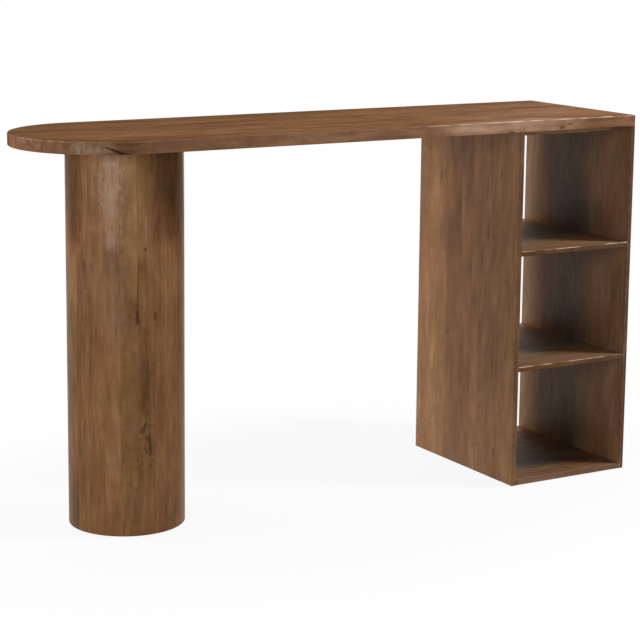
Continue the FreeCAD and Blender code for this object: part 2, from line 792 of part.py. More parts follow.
doc.recompute()
for piece in doc.Objects:
    if "Invalid" in piece.State or "Error" in piece.State:
        raise RuntimeError(f"{piece.Label} did not build: {piece.State}")
for piece in nodes:
    if piece.Shape.isNull() or not piece.Shape.isValid() or not piece.Shape.Solids:
        raise RuntimeError(f"{piece.Label} has no sound solid")

os.makedirs("parts", exist_ok=True)
for piece in nodes:
    piece.Shape.exportStep(f"parts/{piece.Label}.step")
    litres = piece.Shape.Volume / 1e6
    print(f"{piece.Label}: {len(piece.Shape.Solids)} solids, {litres:.4f} litres")
print(f"{len(nodes)} nodes")
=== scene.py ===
# %% [markdown]
# # A bar table in brown hardwood
# The table stands on a coopered drum leg at its round end, and on an open shelf cabinet at its square end.
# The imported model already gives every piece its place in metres, with the floor at zero and the front
# towards -Y. This script keeps those places. It builds the wooden pieces again with finer edges, paints
# every surface, and sets up the camera and the light.

# %% Load the measured frame
import json
import math
import random

import bmesh
import bpy
from mathutils import Matrix, Vector


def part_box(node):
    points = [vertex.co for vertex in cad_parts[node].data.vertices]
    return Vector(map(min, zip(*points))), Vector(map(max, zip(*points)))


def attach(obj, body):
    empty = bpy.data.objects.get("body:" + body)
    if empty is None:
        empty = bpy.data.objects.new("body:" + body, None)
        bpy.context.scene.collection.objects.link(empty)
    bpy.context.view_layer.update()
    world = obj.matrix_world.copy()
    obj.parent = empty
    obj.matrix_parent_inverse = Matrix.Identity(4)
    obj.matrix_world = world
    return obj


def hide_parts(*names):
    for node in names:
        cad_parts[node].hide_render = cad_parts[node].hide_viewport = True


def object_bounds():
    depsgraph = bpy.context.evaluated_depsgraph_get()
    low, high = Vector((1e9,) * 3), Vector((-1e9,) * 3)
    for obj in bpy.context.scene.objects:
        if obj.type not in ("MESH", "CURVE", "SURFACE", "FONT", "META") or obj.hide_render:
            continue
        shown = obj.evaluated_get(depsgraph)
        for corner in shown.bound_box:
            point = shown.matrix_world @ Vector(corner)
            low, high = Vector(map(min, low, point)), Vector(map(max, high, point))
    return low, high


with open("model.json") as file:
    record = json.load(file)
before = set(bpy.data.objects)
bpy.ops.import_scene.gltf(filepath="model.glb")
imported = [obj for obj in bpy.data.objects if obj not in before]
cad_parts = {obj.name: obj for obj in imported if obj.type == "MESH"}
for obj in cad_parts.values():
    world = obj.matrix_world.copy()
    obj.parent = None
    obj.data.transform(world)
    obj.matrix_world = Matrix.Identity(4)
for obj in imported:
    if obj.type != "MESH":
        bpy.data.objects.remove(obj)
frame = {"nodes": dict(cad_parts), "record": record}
cad_box = [list(corner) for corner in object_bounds()]
scene = bpy.context.scene
scene.view_settings.view_transform = "Standard"
print("box of the measured table in metres:", cad_box)

# %% [markdown]
# ## The camera
# The picture to match was taken from the front left, a little above the top, with a long lens. Heading,
# tilt and roll turn the camera one after the other, as a photographer turns a tripod head. The small shift
# moves the frame down instead of tilting the camera more, which keeps the upright edges nearly parallel.

# %% Camera
CAMERA_PLACE = (-2.728, -4.602, 1.598)
LENS = 109.8
SHIFT = -0.1
HEADING = math.radians(30.65)
TILT = math.radians(9.82)
ROLL = math.radians(-0.57)

turned = Matrix.Rotation(-HEADING, 4, "Z")
tilted = Matrix.Rotation(math.pi / 2 - TILT, 4, "X")
rolled = Matrix.Rotation(-ROLL, 4, "Z")
camera = bpy.data.objects.new("camera", bpy.data.cameras.new("camera"))
camera.data.lens = LENS
camera.data.shift_y = SHIFT
camera.matrix_world = Matrix.Translation(CAMERA_PLACE) @ turned @ tilted @ rolled
scene.collection.objects.link(camera)
scene.camera = camera
print("camera at", CAMERA_PLACE, "with a lens of", LENS, "mm")

# %% [markdown]
# ## Places that come from the frame
# A size that is read from the measured solids can't drift away from them. The top's corners give the
# table's length and width. The half-round end is an arc about a point half a width in from that end.

# %% Sizes read from the frame
LOW, HIGH = (Vector(corner) for corner in cad_box)
TOP = HIGH.z
HALF_WIDTH = HIGH.y
RIGHT_END = HIGH.x
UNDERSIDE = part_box("top_board_1")[0].z
ROUND_CENTRE = LOW.x + HALF_WIDTH
stave_boxes = [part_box(name) for name in frame["nodes"] if name.startswith("drum_stave_")]
STAVE_COUNT = len(stave_boxes)
DRUM_LEFT = min(low.x for low, high in stave_boxes)
DRUM_RIGHT = max(high.x for low, high in stave_boxes)
DRUM_FOOT = stave_boxes[0][0].z
DRUM_X = (DRUM_LEFT + DRUM_RIGHT) / 2
print(STAVE_COUNT, "staves about x =", round(DRUM_X, 4), "and a top", round(TOP - UNDERSIDE, 4), "m thick")

# %% [markdown]
# ## Boards with eased edges
# A joiner breaks every sharp edge with sandpaper, and on a dark finish these edges are worn to a lighter
# line.
# That lighter line also carries painted glints, the highlights that rounded edges catch. Glue lines between
# boards show the other way, as hair-thin dark lines. Both are real bevels here, because a bevel catches light
# from any side. Each bevel marks its new faces with a number, which is 1 on a rubbed edge with its painted
# glint and -1 in a glue line, so that the wood's material can tell them apart.

# %% Start a board and ease its edges
# Marks of rubbed edges with painted glints and of glue lines, and how many segments a bevel gets.
RUBBED_AND_GLINTING = 1.0
FAINT = 0.12
PLAIN = 0.0
GLUED = -1.0
ROUNDED = 3
CHAMFERED = 1


def new_board():
    """An empty mesh with room for what the wood's material reads."""
    bm = bmesh.new()
    bm.verts.layers.float_vector.new("log")
    bm.verts.layers.float_vector.new("tone")
    bm.verts.layers.float.new("dull")
    bm.faces.layers.float.new("wear")
    return bm


def ease(bm, edges, width, segments, wear, above=0.0):
    """Round some edges and mark the new faces that lie above a height."""
    made = bmesh.ops.bevel(
        bm, geom=edges, offset=width, offset_type="OFFSET", affect="EDGES",
        segments=segments, profile=0.5, material=-1, clamp_overlap=True,
    )
    layer = bm.faces.layers.float["wear"]
    for face in made["faces"]:
        face[layer] = wear if face.calc_center_median().z > above else PLAIN


print("edges are marked", RUBBED_AND_GLINTING, "where rubbed and", GLUED, "where glued")

# %% [markdown]
# ## Sawing boards from logs
# Wood grain isn't painted on a board. It is there because the board was cut from a log, so the pattern on
# its face, its edge and its end all belong together. To get that, every point of a board remembers where it
# lay in its log: how far along it, and where around the heart. The material then draws growth rings and
# fibres in the log's own space. Each board comes from another log, at another distance from the heart, and
# has a tone. It also has a number called dull, which is 1 for the shelves, because their lacquer shines
# less than that of the rest.

# %% Saw
ALONG_X, ALONG_Y, ALONG_Z = range(3)
HEART_DISTANCE = (0.03, 0.12)
LEAN = 0.03
LOG_START = (1, 12)


def saw(bm, along, seed, light=0.0, dull=0.0):
    """Give a board's points their places in the log that it was cut from. Along is the grain's axis."""
    draw = random.Random(seed)
    middle = sum((vertex.co for vertex in bm.verts), Vector()) / len(bm.verts)
    first, second = [axis for axis in range(3) if axis != along]
    heart = draw.uniform(*HEART_DISTANCE)
    around = draw.uniform(0, 2 * math.pi)
    lean = [draw.uniform(-LEAN, LEAN) for _ in range(2)]
    start = draw.uniform(*LOG_START)
    tone = Vector((draw.uniform(-1, 1) + light, draw.uniform(-1, 1), draw.uniform(0, 1)))
    log_layer = bm.verts.layers.float_vector["log"]
    tone_layer = bm.verts.layers.float_vector["tone"]
    dull_layer = bm.verts.layers.float["dull"]
    for vertex in bm.verts:
        offset = vertex.co - middle
        length = offset[along]
        vertex[log_layer] = Vector((
            start + length,
            heart * math.cos(around) + offset[first] + lean[0] * length,
            heart * math.sin(around) + offset[second] + lean[1] * length,
        ))
        vertex[tone_layer] = tone
        vertex[dull_layer] = dull


print("a board's grain runs along axis", ALONG_X, "or", ALONG_Z)

# %% [markdown]
# ## From meshes to pieces
# A side panel is one piece on the table, glued up from several boards, so boards are joined before they
# become an object. Faces are shaded smoothly, but edges that bend by more than a few degrees stay crisp.
# Each new piece stands for its measured node, rides on the same body and takes its finish from the same
# slot.

# %% Make a piece
CRISP = math.radians(20)
pieces_by_slot = {}


def make_piece(name, boards, node, slot):
    """Join boards in one object that stands for a measured node."""
    whole = new_board()
    for board in boards:
        bmesh.ops.recalc_face_normals(board, faces=board.faces)
        joined = bpy.data.meshes.new("board")
        board.to_mesh(joined)
        board.free()
        whole.from_mesh(joined)
        bpy.data.meshes.remove(joined)
    mesh = bpy.data.meshes.new(name)
    whole.to_mesh(mesh)
    whole.free()
    mesh.shade_smooth()
    mesh.set_sharp_from_angle(angle=CRISP)
    piece = bpy.data.objects.new(name, mesh)
    scene.collection.objects.link(piece)
    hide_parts(node)
    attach(piece, "table")
    pieces_by_slot.setdefault(slot, []).append(piece)


print("pieces are crisp past", round(math.degrees(CRISP)), "degrees")

# %% [markdown]
# ## The tabletop
# The top is a slab of boards laid side by side, then sawn to a half circle at one end. The same order works
# in Blender: a filled circle is cut in half, its straight side is pulled out to the square end, and each
# board is what two upright cuts leave of that outline. The board is then raised to its thickness, and its
# rims are eased.

# %% Outline of one top board
ROUND_STEPS = 240
TOUCH = 1e-6


def cut_away(bm, point, direction):
    """Cut everything flat and drop what lies past the cut."""
    everything = bm.verts[:] + bm.edges[:] + bm.faces[:]
    bmesh.ops.bisect_plane(
        bm, geom=everything, dist=TOUCH, plane_co=point, plane_no=direction, clear_outer=True
    )


def top_outline(bm):
    """The whole top as a flat face at the height of its underside."""
    centre = Matrix.Translation((ROUND_CENTRE, 0, UNDERSIDE))
    bmesh.ops.create_circle(bm, cap_ends=True, segments=ROUND_STEPS, radius=HALF_WIDTH, matrix=centre)
    cut_away(bm, (ROUND_CENTRE, 0, 0), (1, 0, 0))
    straight = [e for e in bm.edges if all(abs(v.co.x - ROUND_CENTRE) < TOUCH for v in e.verts)]
    pulled = bmesh.ops.extrude_edge_only(bm, edges=straight)["geom"]
    moved = [item for item in pulled if isinstance(item, bmesh.types.BMVert)]
    bmesh.ops.translate(bm, vec=(RIGHT_END - ROUND_CENTRE, 0, 0), verts=moved)
    bmesh.ops.dissolve_edges(bm, edges=straight)


print("the round end has", ROUND_STEPS // 2, "steps")

# %% Raise the boards of the top
RIM_EASE = 0.0022
SEAM_EASE = 0.00018
# The mark of rubbing and painted glint reaches this many roundings down from the top of an edge.
WORN_DEPTH = 1.5


def raise_faces(bm, height):
    """Pull flat faces up, so that they become a closed board."""
    raised = bmesh.ops.extrude_face_region(bm, geom=bm.faces[:])["geom"]
    lifted = [item for item in raised if isinstance(item, bmesh.types.BMVert)]
    bmesh.ops.translate(bm, vec=(0, 0, height), verts=lifted)
    bmesh.ops.recalc_face_normals(bm, faces=bm.faces)


def lies_at(edge, axis, places):
    """Whether an edge lies flat at one of some places along an axis."""
    return any(all(abs(v.co[axis] - place) < TOUCH for v in edge.verts) for place in places)


def top_board(low_y, high_y):
    """One board of the top, between two glue lines or a glue line and the outside."""
    bm = new_board()
    top_outline(bm)
    seams = [y for y in (low_y, high_y) if abs(y) < HALF_WIDTH - TOUCH]
    cut_away(bm, (0, low_y, 0), (0, -1, 0))
    cut_away(bm, (0, high_y, 0), (0, 1, 0))
    raise_faces(bm, TOP - UNDERSIDE)
    faces = (TOP, UNDERSIDE)
    sides = (-HALF_WIDTH, HALF_WIDTH)
    level = [e for e in bm.edges if lies_at(e, ALONG_Z, faces) and not lies_at(e, ALONG_Y, seams)]
    corner = [e for e in bm.edges if lies_at(e, ALONG_X, (RIGHT_END,)) and lies_at(e, ALONG_Y, sides)]
    ease(bm, level + corner, RIM_EASE, ROUNDED, RUBBED_AND_GLINTING, TOP - WORN_DEPTH * RIM_EASE)
    glued = [e for e in bm.edges if lies_at(e, ALONG_Y, seams) and lies_at(e, ALONG_Z, faces)]
    ease(bm, glued, SEAM_EASE, CHAMFERED, GLUED)
    return bm


top_names = sorted(name for name in frame["nodes"] if name.startswith("top_board_"))
for number, name in enumerate(top_names, start=1):
    low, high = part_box(name)
    board = top_board(low.y, high.y)
    saw(board, ALONG_X, f"top {number}")
    make_piece(f"sawn_{name}", [board], name, "top_wood")
print(len(top_names), "boards in the top")

# %% [markdown]
# ## The drum leg
# A cooper's drum is made of staves with slanted sides, glued into a ring and turned round. One stave is a
# short line, from the inside to the outside, spun about the drum's axis by its share of the circle and then
# raised. Spinning gives a true arc, so the drum stays round from close by.

# %% Staves
STAVE_STEP = 2 * math.pi / STAVE_COUNT
STAVE_THICKNESS = 0.022
STAVE_STEPS = 8
# Where the first stave starts, counted from the table's right end.
DRUM_TURN = math.radians(11)
DRUM_RADIUS = (DRUM_RIGHT - DRUM_LEFT) / 2
DRUM_INSIDE = (DRUM_RADIUS - STAVE_THICKNESS) / math.cos(STAVE_STEP / 2)
DRUM_EASE = 0.0015
STAVE_EASE = 0.0007
SLIVER = 1e-5


def upright_side(edge):
    """Whether an edge is one of a stave's two long outer edges."""
    first, second = edge.verts
    tall = abs(first.co.z - second.co.z) > (UNDERSIDE - DRUM_FOOT) / 2
    facing = edge.link_faces[0].normal.dot(edge.link_faces[1].normal)
    return tall and first.co.xy.length > DRUM_RADIUS - DRUM_EASE and facing < math.cos(math.pi / 4)


def stave(number):
    """One stave, spun about the drum's axis and set in its place around it."""
    bm = new_board()
    inside = bm.verts.new((DRUM_INSIDE, 0, DRUM_FOOT))
    outside = bm.verts.new((DRUM_RADIUS, 0, DRUM_FOOT))
    line = bm.edges.new((inside, outside))
    bmesh.ops.spin(
        bm, geom=[inside, outside, line], cent=(0, 0, 0), axis=(0, 0, 1),
        angle=STAVE_STEP, steps=STAVE_STEPS, use_merge=False,
    )
    raise_faces(bm, UNDERSIDE - DRUM_FOOT)
    outer = [e for e in bm.edges if all(v.co.xy.length > DRUM_RADIUS - TOUCH for v in e.verts)]
    rims = [e for e in outer if lies_at(e, ALONG_Z, (DRUM_FOOT, UNDERSIDE))]
    ease(bm, rims, DRUM_EASE, ROUNDED, PLAIN)
    sides = [e for e in bm.edges if len(e.link_faces) == 2 and upright_side(e)]
    ease(bm, sides, STAVE_EASE, CHAMFERED, GLUED)
    bmesh.ops.dissolve_degenerate(bm, dist=SLIVER, edges=bm.edges)
    turn = Matrix.Rotation(DRUM_TURN + number * STAVE_STEP, 3, "Z")
    bmesh.ops.rotate(bm, cent=(0, 0, 0), matrix=turn, verts=bm.verts)
    bmesh.ops.translate(bm, vec=(DRUM_X, 0, 0), verts=bm.verts)
    return bm


for number in range(STAVE_COUNT):
    name = f"drum_stave_{number + 1:02d}"
    board = stave(number)
    saw(board, ALONG_Z, f"stave {number}")
    make_piece(f"sawn_{name}", [board], name, "drum_wood")
print(STAVE_COUNT, "staves around a radius of", round(DRUM_RADIUS, 4))

# %% [markdown]
# ## The shelf cabinet
# Side panels and shelves are thin glued panels. Their boards run upright in the sides and across in the
# shelves. Three stock widths repeat and are shared out over the table's width, starting from another width
# in each panel, so that glue lines never run on from one panel to the next.

# %% Panels and rails
STOCK = (92, 58, 74)
BOARD_COUNT = 7
PANEL_EASE = 0.0016


def board_limits(first):
    """Where each board of a panel starts and ends across the table."""
    widths = [STOCK[(first + number) % len(STOCK)] for number in range(BOARD_COUNT)]
    scale = 2 * HALF_WIDTH / sum(widths)
    starts = [-HALF_WIDTH + scale * sum(widths[:number]) for number in range(BOARD_COUNT)]
    return [(start, start + scale * width) for start, width in zip(starts, widths)]


def panel_board(low, high, along, outside, wear):
    """One straight board. Its long edges are rounded on the panel's outside and glued elsewhere."""
    bm = new_board()
    verts = bmesh.ops.create_cube(bm, size=1)["verts"]
    bmesh.ops.scale(bm, vec=high - low, verts=verts)
    bmesh.ops.translate(bm, vec=(low + high) / 2, verts=verts)
    long_edges = [e for e in bm.edges if abs(e.verts[0].co[along] - e.verts[1].co[along]) > TOUCH]
    rounded = [e for e in long_edges if lies_at(e, ALONG_Y, outside)]
    glued = [e for e in long_edges if not lies_at(e, ALONG_Y, outside)]
    worn_above = high.z - WORN_DEPTH * PANEL_EASE if along == ALONG_X else 0.0
    if rounded:
        ease(bm, rounded, PANEL_EASE, ROUNDED, wear, worn_above)
    if glued:
        ease(bm, glued, SEAM_EASE, CHAMFERED, GLUED)
    return bm


def glued_panel(node, first, along, wear, light, dull):
    """A panel of boards side by side across the table."""
    low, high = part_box(node)
    outside = (-HALF_WIDTH, HALF_WIDTH)
    boards = []
    for number, (start, end) in enumerate(board_limits(first)):
        board_low = Vector((low.x, start, low.z))
        board_high = Vector((high.x, end, high.z))
        board = panel_board(board_low, board_high, along, outside, wear)
        saw(board, along, f"{node} {number}", light, dull)
        boards.append(board)
    make_piece(f"sawn_{node}", boards, node, "cabinet_wood")


# Each panel has its first stock width, its grain, the mark of rubbing and painted glint on its edges, and how
# light and how dull its boards are.
PANELS = {
    "left_side_panel": (1, ALONG_Z, FAINT, 0.0, 0.0),
    "right_side_panel": (2, ALONG_Z, FAINT, 0.0, 0.0),
    "bottom_panel": (0, ALONG_X, PLAIN, -4.5, 1.0),
    "lower_shelf": (1, ALONG_X, RUBBED_AND_GLINTING, -2.0, 1.0),
    "upper_shelf": (2, ALONG_X, RUBBED_AND_GLINTING, -2.4, 1.0),
}
for node, (first, along, wear, light, dull) in PANELS.items():
    glued_panel(node, first, along, wear, light, dull)
for node in ("front_top_rail", "back_top_rail"):
    low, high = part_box(node)
    board = panel_board(low, high, ALONG_X, (low.y, high.y), PLAIN)
    saw(board, ALONG_X, node)
    make_piece(f"sawn_{node}", [board], node, "cabinet_wood")
print(len(pieces_by_slot["cabinet_wood"]), "wooden pieces in the cabinet")

# %% [markdown]
# ## Arithmetic on shader sockets
# A material is a sum of patterns. Written as nodes one by one, such a sum is hard to read, so a small class
# wraps a socket and lets Python's own operators add the Math nodes. Every other node comes from one method.

# %% Shader sums
class Shade:
    """A socket of a material that takes part in Python sums."""

    def __init__(self, tree, socket=None):
        self.tree = tree
        self.socket = socket

    def node(self, kind, settings=None, inputs=None, output=0):
        """Add a node: its settings first, then the values or links of its sockets."""
        made = self.tree.nodes.new(kind)
        for name, setting in (settings or {}).items():
            if name == "stops":
                set_stops(made.color_ramp, setting)
            else:
                setattr(made, name, setting)
        for name, value in (inputs or {}).items():
            if isinstance(value, Shade):
                self.tree.links.new(value.socket, made.inputs[name])
            else:
                made.inputs[name].default_value = value
        return Shade(self.tree, made.outputs[output] if made.outputs else None)

    def math(self, operation, first, second=0.0, clamp=False):
        """Add a Math node."""
        settings = {"operation": operation, "use_clamp": clamp}
        return self.node("ShaderNodeMath", settings, {0: first, 1: second})

    def __add__(self, other):
        return self.math("ADD", self, other)

    def __sub__(self, other):
        return self.math("SUBTRACT", self, other)

    def __rsub__(self, other):
        return self.math("SUBTRACT", other, self)

    def __mul__(self, other):
        return self.math("MULTIPLY", self, other)

    __radd__ = __add__
    __rmul__ = __mul__


def set_stops(ramp, stops):
    """Give a colour ramp its stops, each a place and a colour."""
    while len(ramp.elements) < len(stops):
        ramp.elements.new(1.0)
    for element, (place, colour) in zip(ramp.elements, stops):
        element.position = place
        element.color = (*colour, 1.0)


print("shader sums use", Shade.__name__)

# %% [markdown]
# ## Patterns that the materials share
# Most finishes need the same few steps: noise that is stretched along one direction, a step from nothing to
# everything between two values, a blend of two colours, and the shader itself at the end.

# %% Shared patterns
# A Mix node has sockets for every kind of value. These are the ones for colours.
FACTOR, FIRST_COLOUR, SECOND_COLOUR = 0, 6, 7
MIXED_COLOUR = 2
GREY = (0.5, 0.5, 0.5)


def stretched(vector, scale):
    """A vector scaled by a different factor along each axis."""
    return vector.node("ShaderNodeVectorMath", {"operation": "MULTIPLY"}, {0: vector, 1: scale})


def noise(vector, scale, detail, colour=False, rough=0.5, twist=0.0):
    """Soft noise about 0, or three such values as a vector."""
    inputs = {
        "Vector": stretched(vector, scale),
        "Scale": 1.0,
        "Detail": detail,
        "Roughness": rough,
        "Distortion": twist,
    }
    made = vector.node("ShaderNodeTexNoise", {}, inputs, "Color" if colour else "Fac")
    if colour:
        return vector.node("ShaderNodeVectorMath", {"operation": "SUBTRACT"}, {0: made, 1: GREY})
    return made - 0.5


def step(value, start, end):
    """0 before start, 1 past end, and smooth between them."""
    inputs = {"Value": value, "From Min": start, "From Max": end}
    return value.node("ShaderNodeMapRange", {"interpolation_type": "SMOOTHSTEP"}, inputs)


def blend(factor, first, second):
    """One colour over another."""
    settings = {"data_type": "RGBA", "clamp_factor": True}
    inputs = {FACTOR: factor, FIRST_COLOUR: first, SECOND_COLOUR: second}
    return factor.node("ShaderNodeMix", settings, inputs, MIXED_COLOUR)


def tinted(colour, tint):
    """A colour multiplied by a tint."""
    settings = {"data_type": "RGBA", "blend_type": "MULTIPLY"}
    inputs = {FACTOR: 1.0, FIRST_COLOUR: colour, SECOND_COLOUR: tint}
    return colour.node("ShaderNodeMix", settings, inputs, MIXED_COLOUR)


def painted(name, colour, roughness, height, bump, **constants):
    """Close a material with its shader. Bump gives the strength and the depth in metres of its relief."""
    strength, depth = bump
    relief = colour.node("ShaderNodeBump", {}, {"Height": height, "Strength": strength, "Distance": depth})
    inputs = {"Base Color": colour, "Roughness": roughness, "Normal": relief}
    inputs.update({key.replace("_", " "): value for key, value in constants.items()})
    surface = colour.node("ShaderNodeBsdfPrincipled", {}, inputs)
    colour.node("ShaderNodeOutputMaterial", {}, {"Surface": surface})
    print("finish:", name, "with", len(colour.tree.nodes), "nodes")


def new_finish(name):
    """An empty material, and a start for its sums."""
    material = bpy.data.materials.new(name)
    material.use_nodes = True
    material.node_tree.nodes.clear()
    return material, Shade(material.node_tree)


def table_place(start):
    """Where a point lies on the table, in metres."""
    return start.node("ShaderNodeTexCoord", {}, {}, "Object")


def board_value(start, name, output):
    """What a point of a board remembers."""
    return start.node("ShaderNodeAttribute", {"attribute_name": name}, {}, output)


print("colours are mixed from sockets", FIRST_COLOUR, "and", SECOND_COLOUR)

# %% [markdown]
# ## Knots, stains, splits and painted light
# Some marks on this table are large enough to find again: knots and dark patches on the drum, flecks on the
# side panel, and a split in the rounded edge. Each is a line through the wood that gets wider or narrower
# from one end to the other. A point's distance to that line, measured in widths, says how far inside the
# mark it lies. A little noise in the distance keeps the outline from looking drawn. Stains, and patches of
# painted light and shade, are the same with a soft outline, and they only lighten or darken the wood, so that
# its grain still shows. Sawn edges are darker than faces, and the top's are greyer with a painted sheen, so
# one more mask finds the table's outside edge. Another keeps the painted light and shade on the inside of the
# right side panel, which is thinner than they are wide, from showing on its outside.

# %% Marks in the wood
SHARP = (1.6, 0.3)
SOFT = (1.6, 0.0)
WHORL_RINGS = 2.4
WHORL_SHAPE = (1.0, 1.0, 0.45)
WHORL_OUTLINE = (1.2, 0.5)
WHORL_RUFFLE = 1.5
RIM_OUTLINE = (0.984, 0.992)
INNER_LIMITS = (RIGHT_END - 0.004, RIGHT_END - 0.009)


def distance(first, second):
    """How far two points lie apart."""
    return first.node("ShaderNodeVectorMath", {"operation": "DISTANCE"}, {0: first, 1: second}, "Value")


def reach(place, ruffle, line, widths, outline):
    """How deep a point lies inside a tapered line: 1 at its core, 0 outside."""
    start, end = (Vector(point) for point in line)
    run = end - start
    from_start = place.node("ShaderNodeVectorMath", {"operation": "SUBTRACT"}, {0: place, 1: start})
    product = {"operation": "DOT_PRODUCT"}
    toward = place.node("ShaderNodeVectorMath", product, {0: from_start, 1: run}, "Value")
    share = place.math("MULTIPLY", toward, 1 / run.length_squared, clamp=True)
    along = place.node("ShaderNodeVectorMath", {"operation": "SCALE"}, {0: run, "Scale": share})
    away = distance(from_start, along)
    width = share * (widths[1] - widths[0]) + widths[0]
    depth = place.math("DIVIDE", away, width) + ruffle
    return step(depth, *outline)


def whorl(place, ruffle, centre, size):
    """Fine dark rings around a knot, and how far they reach."""
    squeezed = stretched(place, WHORL_SHAPE)
    middle = Vector(centre) * Vector(WHORL_SHAPE)
    depth = distance(squeezed, middle) * (1 / size) + ruffle * WHORL_RUFFLE
    rings = place.math("SINE", depth * (2 * math.pi * WHORL_RINGS)) * 0.5 + 0.5
    return rings * step(depth, *WHORL_OUTLINE)


def rim(place):
    """1 on the table's outside edge and 0 on the wood within it, at any height."""
    level_place = stretched(place, (1, 1, 0))
    spine = ((ROUND_CENTRE, 0, 0), (RIGHT_END, 0, 0))
    return reach(level_place, 0.0, spine, (HALF_WIDTH, HALF_WIDTH), RIM_OUTLINE)


def inner_side(place):
    """0 on the outside of the right side panel and 1 elsewhere."""
    x = place.node("ShaderNodeSeparateXYZ", {}, {0: place}, "X")
    return step(x, *INNER_LIMITS)


print("a sharp mark fades between", SHARP, "widths and a soft one between", SOFT)

# %% [markdown]
# ## Browns and tints
# One ramp of browns serves the whole table, from the dark of a pore to the pale of sapwood. What differs
# from place to place is a tint that multiplies the brown: boards lean to red or to yellow, large soft films
# paint grey sheen, grey reflections, shade and some warmer places, and the top's sawn edges are greyer with a
# painted sheen. The darker films in the cabinet and on the drum are painted shade that the lamps alone don't
# give. Four plain colours lie over the wood instead of tinting it: glue lines, knots, rubbed edges that also
# carry painted glints, and a pale painted sheen.

# %% Browns and tints
BROWNS = [
    (0.00, (0.039, 0.016, 0.006)),
    (0.25, (0.099, 0.044, 0.017)),
    (0.50, (0.180, 0.087, 0.039)),
    (0.75, (0.264, 0.141, 0.071)),
    (1.00, (0.388, 0.232, 0.134)),
]
WARM = (1.08, 0.97, 0.86, 1)
TAWNY = (1.00, 1.00, 0.80, 1)
UMBER = (1.06, 0.98, 0.94, 1)
OLIVE = (0.95, 1.02, 0.82, 1)
MELLOW = (0.98, 0.98, 0.90, 1)
ROSY = (1.09, 0.95, 1.07, 1)
COOL = (0.99, 1.00, 1.04, 1)
# A grey sheen, a grey reflection, a pale sheen, grey shade and dark shade, all painted into the wood's
# colour.
PAINTED_GREY_SHEEN_TINT = (1.00, 1.06, 1.30, 1)
PAINTED_REFLECTION_TINT = (0.84, 1.06, 1.42, 1)
PAINTED_SHEEN_TINT = (1.06, 1.18, 1.50, 1)
PAINTED_GREY_SHADE_TINT = (0.86, 0.97, 0.90, 1)
PAINTED_SHADE_TINT = (0.60, 0.76, 0.82, 1)
# Russet warms the painted shade high on the drum. Amber warms the left panel towards its back, partly board
# tone and partly painted light.
RUSSET = (0.98, 0.86, 0.58, 1)
AMBER = (1.03, 0.89, 0.70, 1)
# The lighter colour of rubbed edges, which also paints their glints.
RUBBED_WOOD_AND_GLINT = (0.58, 0.43, 0.31, 1)
GLUE_LINE = (0.036, 0.017, 0.008, 1)
HEARTWOOD = (0.040, 0.018, 0.008, 1)
# A pale painted sheen.
PAINTED_SHEEN_COLOUR = (0.40, 0.30, 0.22, 1)
print(len(BROWNS), "browns, from", BROWNS[0][1], "to", BROWNS[-1][1])

# %% [markdown]
# ## Where the marks lie
# A mark belongs to a surface, so it is placed on one: by an angle and a height on the drum, by how far
# along and how high on an edge, or by a spot on a panel or a shelf. The surfaces come from the frame, and
# only the spot on them is given. A mark, a stain, a patch of painted light and shade, or a painted sheen has
# the two ends of its line, its half widths there and its strength. A film of painted sheen and shade also
# has a tint, and a whorl has its knot's place, its size and its strength.

# %% Places on the surfaces
EDGE_MIDDLE = (TOP + UNDERSIDE) / 2
LEFT_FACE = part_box("left_side_panel")[0].x
INNER_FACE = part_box("right_side_panel")[0].x
UPPER_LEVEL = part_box("upper_shelf")[1].z
LOWER_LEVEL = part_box("lower_shelf")[1].z
BOTTOM_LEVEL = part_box("bottom_panel")[1].z


def on_top(x, y):
    """A place on the table's upper face."""
    return (x, y, TOP)


def on_front(x, height):
    """A place on the straight front edge of the top or the cabinet."""
    return (x, -HALF_WIDTH, height)


def on_round(x, height):
    """A place on the front half of the top's round edge."""
    return (x, -math.sqrt(HALF_WIDTH ** 2 - (x - ROUND_CENTRE) ** 2), height)


def on_drum(degrees, height):
    """A place on the drum, where -90 degrees faces the front and -180 the round end."""
    angle = math.radians(degrees)
    return (DRUM_X + DRUM_RADIUS * math.cos(angle), DRUM_RADIUS * math.sin(angle), height)


def on_left_panel(y, height):
    """A place on the outside of the left side panel."""
    return (LEFT_FACE, y, height)


def inside_right(y, height):
    """A place on the inside of the right side panel."""
    return (INNER_FACE, y, height)


print("shelves at", [round(level, 4) for level in (BOTTOM_LEVEL, LOWER_LEVEL, UPPER_LEVEL)])

# %% Marks of the top
PALE_EDGE = (on_front(0.30, 1.030), on_front(0.66, 1.030))
SQUARE_END = (on_top(0.55, 0.00), on_top(0.90, 0.05))
TOP_MARKS = [
    ((on_round(-0.752, 1.0375), on_round(-0.6995, 1.0165)), (0.0014, 0.0072), 1.0),
    ((on_front(0.634, 1.026), on_front(0.644, 1.0265)), (0.005, 0.003), 0.6),
    ((on_front(0.455, 1.0195), on_front(0.472, 1.0195)), (0.003, 0.002), 0.7),
    ((on_front(0.655, 1.034), on_front(0.668, 1.035)), (0.002, 0.003), 0.5),
]
# Painted light and shade on the top: a darker patch on the round edge is painted shade, and the lighter front
# edge and square end are painted sheen.
TOP_PAINTED_LIGHT = [
    ((on_round(-0.885, EDGE_MIDDLE), on_round(-0.70, EDGE_MIDDLE)), (0.06, 0.05), -0.12),
    (PALE_EDGE, (0.05, 0.05), 0.23),
    (SQUARE_END, (0.25, 0.32), 0.05),
]
TOP_WHORLS = [
    (on_front(0.634, 1.028), 0.018, 0.16),
    (on_front(0.50, 1.03), 0.014, 0.12),
]
# A pale, cloudy painted sheen on the round edge.
TOP_PAINTED_SHEEN = [
    ((on_round(-0.81, EDGE_MIDDLE), on_round(-0.745, EDGE_MIDDLE)), (0.022, 0.014), 0.46),
]
